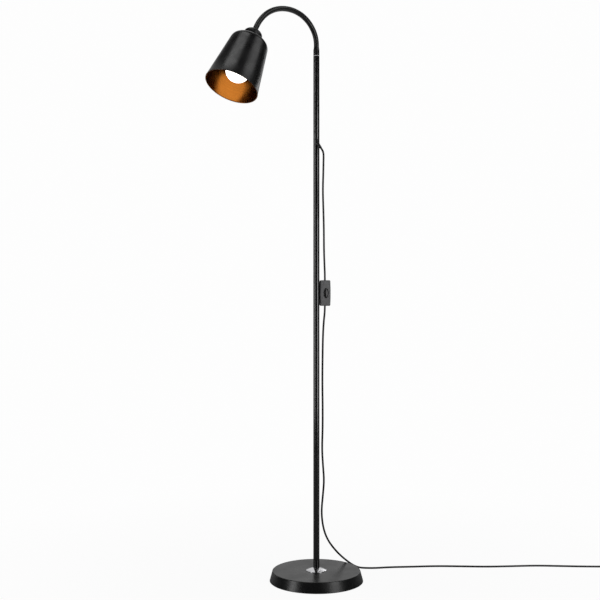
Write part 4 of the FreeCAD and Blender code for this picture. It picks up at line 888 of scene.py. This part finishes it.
class READINGLAMP_OT_gooseneck(LampOperator, bpy.types.Operator):
    """Wind the gooseneck from its ferrule to its end piece, one stretch for each joint"""

    bl_idname = "reading_lamp.gooseneck"
    bl_label = "Gooseneck"

    def build(self, context):
        ferrule = [
            (3.5, 1332.8),
            (5, 1332.8, 0.3),
            (5, 1351.8),
            (7.85, 1351.8, 0.2),
            (7.85, 1365.3, 2),
            (6.75, 1373.27, 0.3),
            (3.5, 1373.27),
        ]
        piece = turned("gooseneck_ferrule", in_mm(rounded(ferrule)), "neck_black")
        stands_for(piece, "neck_ferrule", "stand")
        tip = [
            (3.5, 137.16),
            (5, 137.16, 0.3),
            (5, 165.06),
            (8, 165.06, 0.25),
            (8, 167.66, 0.6),
            (5.4, 167.66),
            (5.4, 174),
            (3.5, 174),
        ]
        piece = turned("gooseneck_tip", in_mm(rounded(tip)), "neck_black", HEAD_PLACE)
        stands_for(piece, "neck_tip", "head")
        self.wind(context.scene.reading_lamp_sizes)

    def wind(self, sizes):
        """The stretches run from the middle of one link to the middle of the next."""
        before = FIRST_JOINT.z - FERRULE_TOP
        after = LAST_JOINT - COLLAR_HIGH
        whole = before + NECK_LENGTH + after
        steps = 240
        spots = [neck_point(whole * i / steps - before)[0] for i in range(steps + 1)]
        joints = len(LINK_TURNS) + 1
        for k in range(joints):
            joint = LINK_LENGTH * k
            first = 0.0 if k == 0 else before + joint - LINK_LENGTH / 2
            last = whole if k == joints - 1 else before + joint + LINK_LENGTH / 2
            name = f"gooseneck_stretch_{k + 1}"
            values = {
                "From": first,
                "To": last,
                "First Radius": NECK_RADIUS,
                "Last Radius": NECK_RADIUS,
                "Rib Pitch": sizes.rib_pitch,
                "Rib Depth": sizes.rib_depth,
                "Side": ACROSS,
                "Finish": finish_named("neck_black"),
            }
            piece = grown(name, hose_tree(), values, line_mesh(name, spots))
            if k:
                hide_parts(f"neck_link_{k}")
            hinge, way = neck_point(joint)
            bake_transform(piece)


class READINGLAMP_OT_shade(LampOperator, bpy.types.Operator):
    """Spin the shade with its rolled rim and copper lining, and press the domed cap"""

    bl_idname = "reading_lamp.shade"
    bl_label = "Shade and cap"

    def build(self, context):
        cap = [Vector((21.3, 142.6)), Vector((21.9, 142.35)), Vector((22.3, 142.3))]
        cap += [Vector((22.5, 142.6)), Vector((22.5, 154.4))]
        cap += arc((5.0, 145.36), 20, 29.5, 79.6, 12)
        cap += rounded([(8.6, 165.06), (5.3, 165.06, 0.3), (5.3, 163.86), (8.3, 163.86)])[1:]
        cap += arc((5.0, 145.36), 18.8, 79.2, 30.2, 10)
        piece = turned("shade_dome_cap", in_mm(cap), "cap_black", HEAD_PLACE, corner=40)
        stands_for(piece, "shade_cap", "head")
        outline, lining = self.shade_outline()
        piece = turned("spun_shade", in_mm(outline), "shade_black", HEAD_PLACE)
        stands_for(piece, "shade", "head")
        mesh = piece.data
        mesh.materials.append(finish_named("shade_copper"))
        steps = context.scene.reading_lamp_sizes.turning_steps
        for face in mesh.polygons:
            face.material_index = 1 if face.index // steps in lining else 0
        dressed("zinc", "shade_nut")

    def shade_outline(self):
        """Outline from the rim up the outside and down the inside, and its copper spans.

        The lining's copper goes on round the inner quarter of the rolled rim: its first spans.
        """
        flare = (65.25 - 47.5) / 122
        side = math.degrees(math.atan(flare))
        middle = (30.677, 119.552)
        points = arc((64.8, 0), 0.95, -150, 20, 10)
        points += [Vector((65.25 - flare * z, z)) for z in (1.6, 40, 80, 116)]
        points += arc(middle, 17, side, 65, 16)
        points += [Vector((22, 142.36)), Vector((20.5, 143.06)), Vector((5.3, 143.06))]
        points += [Vector((5.3, 142.16)), Vector((20.3, 142.16))]
        lining_start = len(points) - 1
        points += arc(middle, 16.1, 65, side, 16)
        inner = 65.25 - 0.91
        points += [Vector((inner - flare * z, z)) for z in (116, 80, 40, 1.6)]
        points += arc((64.8, 0), 0.95, 150, 205, 4)
        return points, [*range(4), *range(lining_start, len(points))]


class READINGLAMP_OT_lampholder(LampOperator, bpy.types.Operator):
    """Turn the lampholder's skirt and the globe bulb that is screwed into it"""

    bl_idname = "reading_lamp.lampholder"
    bl_label = "Lampholder and bulb"

    def build(self, context):
        skirt = [
            (18, 90.16, 0.4),
            (20, 90.16, 0.8),
            (18.5, 132.16, 2),
            (8, 142.16, 0.6),
            (5.05, 142.16),
            (5.05, 130.16),
            (16.5, 130.16),
        ]
        piece = turned("holder_skirt", in_mm(rounded(skirt)), "holder_black", HEAD_PLACE)
        stands_for(piece, "lampholder_skirt", "head")
        globe = arc((0, 46.9), 30, -90, 29.5, 28)
        globe += [Vector((26.05, 61.8))]
        globe += arc((0, 46.9), 28.6, 31.4, -90, 24)
        globe[0].x = globe[-1].x = 0
        piece = turned("bulb_opal_globe", in_mm(globe), "opal_globe", HEAD_PLACE)
        stands_for(piece, "bulb_globe", "head")
        housing = [Vector((0, 61.86)), Vector((25.4, 61.86)), Vector((26, 62.2))]
        housing += bowed((26, 62.2), (15, 88.86), 57.6, 14)
        housing += [Vector((13.1, 97.86)), Vector((0, 97.86))]
        piece = turned("bulb_waist", in_mm(housing), "bulb_white", HEAD_PLACE)
        stands_for(piece, "bulb_housing", "head")
        thread = self.thread(context.scene.reading_lamp_sizes.socket_turns)
        piece = turned("bulb_thread", in_mm(thread), "bulb_metal", HEAD_PLACE, corner=60)
        stands_for(piece, "bulb_screw_cap", "head")
        dressed("brass", "lampholder_screw_shell", "lampholder_contact")
        dressed("ceramic", "lampholder_core")
        dressed("bulb_metal", "bulb_eyelet")

    def thread(self, turns):
        """The screw cap's rolled thread, as rings of its pitch."""
        points = [Vector((0, 97.86)), Vector((13.0, 97.86))]
        low, high, steps = 99.5, 117.5, 10
        for i in range(turns * steps + 1):
            wave = 0.5 - 0.5 * math.cos(2 * math.pi * i / steps)
            height = low + (high - low) * i / (turns * steps)
            points.append(Vector((12.2 + 0.9 * wave, height)))
        return points + [Vector((11.6, 119.0)), Vector((10.4, 119.86)), Vector((0, 119.86))]


class READINGLAMP_OT_switch(LampOperator, bpy.types.Operator):
    """Finish the in-line switch: its two halves, its rocker, its screws and what is inside"""

    bl_idname = "reading_lamp.switch"
    bl_label = "Switch"

    def build(self, context):
        dressed("switch_grey", "switch_front", "switch_back")
        rocker = self.rocker()
        stands_for(rocker, "switch_rocker", "rocker")
        dressed("zinc", "switch_screws")
        dressed("holder_black", "switch_clamps")
        dressed("brass", "switch_blades")

    def rocker(self):
        """The oval rocker: a soft crown with a round shoulder, tipped to one side.

        Its profile is typed as a share of the way out and a height in millimetres.
        """
        half_wide, half_high, steps = 6.25 * MM, 12.3 * MM, 96
        profile = [(0, 2.3), (0.2, 2.27), (0.4, 2.17), (0.6, 2.0), (0.76, 1.8), (0.87, 1.45)]
        profile += [(0.94, 1.05), (0.985, 0.5), (1, -0.2), (1, -2.2), (0, -2.2)]
        spots, rings, faces = [], [], []
        for share, height in profile:
            rings.append((len(spots), share == 0))
            for i in range(1 if share == 0 else steps):
                angle = 2 * math.pi * i / steps
                x, y = half_wide * share * math.cos(angle), half_high * share * math.sin(angle)
                spots.append((x, -height * MM, y))
        for (low, low_single), (high, high_single) in zip(rings, rings[1:]):
            for i in range(steps):
                k = (i + 1) % steps
                a = [low] if low_single else [low + i, low + k]
                b = [high] if high_single else [high + k, high + i]
                faces.append(a[::-1] + b[::-1])
        mesh = bpy.data.meshes.new("rocker_cushion")
        mesh.from_pydata(spots, [], faces)
        pivot = Matrix.Translation((0, ROCKER_PIN, 0))
        tip = Matrix.Rotation(math.radians(ROCKER_TIP), 4, "X")
        face = Matrix.Translation((0, ROCKER_FACE, 0))
        mesh.transform(SWITCH_PLACE @ pivot @ tip @ face)
        mesh.shade_smooth()
        mesh.set_sharp_from_angle(angle=math.radians(50))
        return new_piece("rocker_cushion", mesh, "rocker_black")


class READINGLAMP_OT_plug(LampOperator, bpy.types.Operator):
    """Finish the plug, its ringed strain relief and the tie round the coil"""

    bl_idname = "reading_lamp.plug"
    bl_label = "Plug and tie"

    def build(self, context):
        radii = (3.3 * MM, 4.5 * MM)
        piece = ribbed_sleeve("plug_sleeve", RELIEF_END, COIL_END_WAY, 24 * MM, radii)
        stands_for(piece, "plug_strain_relief", "stand")
        dressed("plug_black", "plug_body")
        dressed("bulb_metal", "plug_pins")
        dressed("tie_black", "coil_tie")


class READINGLAMP_OT_stage(LampOperator, bpy.types.Operator):
    """Lay the white floor and set the studio's lights"""

    bl_idname = "reading_lamp.stage"
    bl_label = "Stage"

    def build(self, context):
        self.floor()
        self.surroundings(context)
        for row in LIGHTS:
            self.lamp(*row)

    def floor(self):
        """White to the camera, plain round the foot and dim in what the lamp's gloss mirrors."""
        mesh = bpy.data.meshes.new("floor")
        corners = [(-1, -1), (1, -1), (1, 1), (-1, 1)]
        spots = [(x * FLOOR_REACH, y * FLOOR_REACH, 0) for x, y in corners]
        mesh.from_pydata(spots, [], [(0, 1, 2, 3)])
        floor = linked("floor", mesh)
        material, wiring, shader, coordinates = new_finish("floor_white")
        wiring.tree.nodes.remove(shader)
        place = coordinates.outputs["Object"]
        rays = wiring.add("ShaderNodeLightPath").outputs
        seen = wiring.math("MAXIMUM", rays["Is Camera Ray"], rays["Is Glossy Ray"])
        seen = wiring.math("MAXIMUM", seen, rays["Is Transmission Ray"])
        # Near the foot a little of the floor is matt, so that it takes the lamp's faint shadow.
        distance = wiring.add("ShaderNodeVectorMath", {0: place}, operation="LENGTH")
        plain = wiring.between(distance.outputs["Value"], 0.965, 1.0, 0.2, 1.2)
        # A mirrored floor shines less in front of the lamp than behind it.
        apart = wiring.add("ShaderNodeSeparateXYZ", {0: place})
        lit = wiring.between(apart.outputs["Y"], 0.02, 0.45, -0.2, 0.8)
        lit = wiring.math("MAXIMUM", lit, rays["Is Camera Ray"])
        share = wiring.math("MULTIPLY", wiring.math("MULTIPLY", seen, plain), lit)
        tone = wiring.between(rays["Is Glossy Ray"], 0.75, 0.2, 0.0, 1.0)
        matt = wiring.add("ShaderNodeBsdfDiffuse", {"Color": tone}).outputs[0]
        glow = wiring.add("ShaderNodeEmission", {"Color": (WHITE, WHITE, WHITE, 1)}).outputs[0]
        mix = wiring.add("ShaderNodeMixShader", {0: share, 1: matt, 2: glow}).outputs[0]
        wiring.feed(wiring.tree.nodes["Material Output"], {"Surface": mix})
        mesh.materials.append(material)

    def surroundings(self, context):
        """White to the camera; the lamp's gloss mirrors only a soft glow behind it."""
        world = bpy.data.worlds.new("white_studio")
        world.use_nodes = True
        context.scene.world = world
        wiring = Wiring(world.node_tree)
        rays = wiring.add("ShaderNodeLightPath").outputs
        way = wiring.add("ShaderNodeTexCoord").outputs["Generated"]
        apart = wiring.add("ShaderNodeSeparateXYZ", {0: way}).outputs
        aside = wiring.math("ABSOLUTE", apart["X"])
        behind = wiring.math(
            "MULTIPLY",
            wiring.between(aside, 1.0, 0.0, 0.25, 0.5),
            wiring.between(apart["Y"], 0.0, 0.62, 0.1, 0.5),
        )
        above = wiring.between(apart["Z"], 0.0, 1.0, 0.06, 0.22)
        glow = wiring.math("ADD", wiring.math("MULTIPLY", behind, above), 0.02)
        # A plain number mix reads its factor at 0 and its numbers at 2 and 3.
        tones = {0: rays["Is Camera Ray"], 2: glow, 3: WHITE}
        mix = wiring.add("ShaderNodeMix", tones, data_type="FLOAT").outputs[0]
        wiring.feed(world.node_tree.nodes["Background"], {"Color": mix})

    def lamp(self, name, spot, size, power, target, turn=0):
        """A soft rectangle of light."""
        data = bpy.data.lights.new(name, "AREA")
        data.shape = "RECTANGLE"
        data.size, data.size_y = size
        data.energy = power
        lamp = linked(name, data)
        lamp.location = spot
        lamp.visible_camera = False
        if target:
            way = target - Vector(spot)
            lamp.rotation_euler = way.to_track_quat("-Z", "Y").to_euler()
        else:
            lamp.rotation_euler = (0, 0, math.radians(turn))


OPERATORS = [
    READINGLAMP_OT_camera,
    READINGLAMP_OT_flex,
    READINGLAMP_OT_foot,
    READINGLAMP_OT_pole,
    READINGLAMP_OT_bushing,
    READINGLAMP_OT_gooseneck,
    READINGLAMP_OT_shade,
    READINGLAMP_OT_lampholder,
    READINGLAMP_OT_switch,
    READINGLAMP_OT_plug,
    READINGLAMP_OT_stage,
]


class READINGLAMP_PT_panel(bpy.types.Panel):
    """The lamp's sizes, finishes and pieces."""

    bl_idname = "READINGLAMP_PT_panel"
    bl_label = "Reading Lamp"
    bl_space_type = "VIEW_3D"
    bl_region_type = "UI"
    bl_category = "Reading Lamp"

    def draw(self, context):
        layout = self.layout
        for group in (context.scene.reading_lamp_sizes, context.scene.reading_lamp_finishes):
            box = layout.box()
            for name in group.__annotations__:
                box.prop(group, name)
        for operator in OPERATORS:
            layout.operator(operator.bl_idname)


CLASSES = [ReadingLampSizes, ReadingLampFinishes, *OPERATORS, READINGLAMP_PT_panel]


def register():
    for one in CLASSES:
        bpy.utils.register_class(one)
    bpy.types.Scene.reading_lamp_sizes = PointerProperty(type=ReadingLampSizes)
    bpy.types.Scene.reading_lamp_finishes = PointerProperty(type=ReadingLampFinishes)


def unregister():
    del bpy.types.Scene.reading_lamp_finishes
    del bpy.types.Scene.reading_lamp_sizes
    for one in reversed(CLASSES):
        bpy.utils.unregister_class(one)


def main():
    """Builds everything in order."""
    register()
    lamp = bpy.ops.reading_lamp
    lamp.camera()
    lamp.flex()
    lamp.foot()
    lamp.pole()
    lamp.bushing()
    lamp.gooseneck()
    lamp.shade()
    lamp.lampholder()
    lamp.switch()
    lamp.plug()
    lamp.stage()


if __name__ == "__main__":
    main()
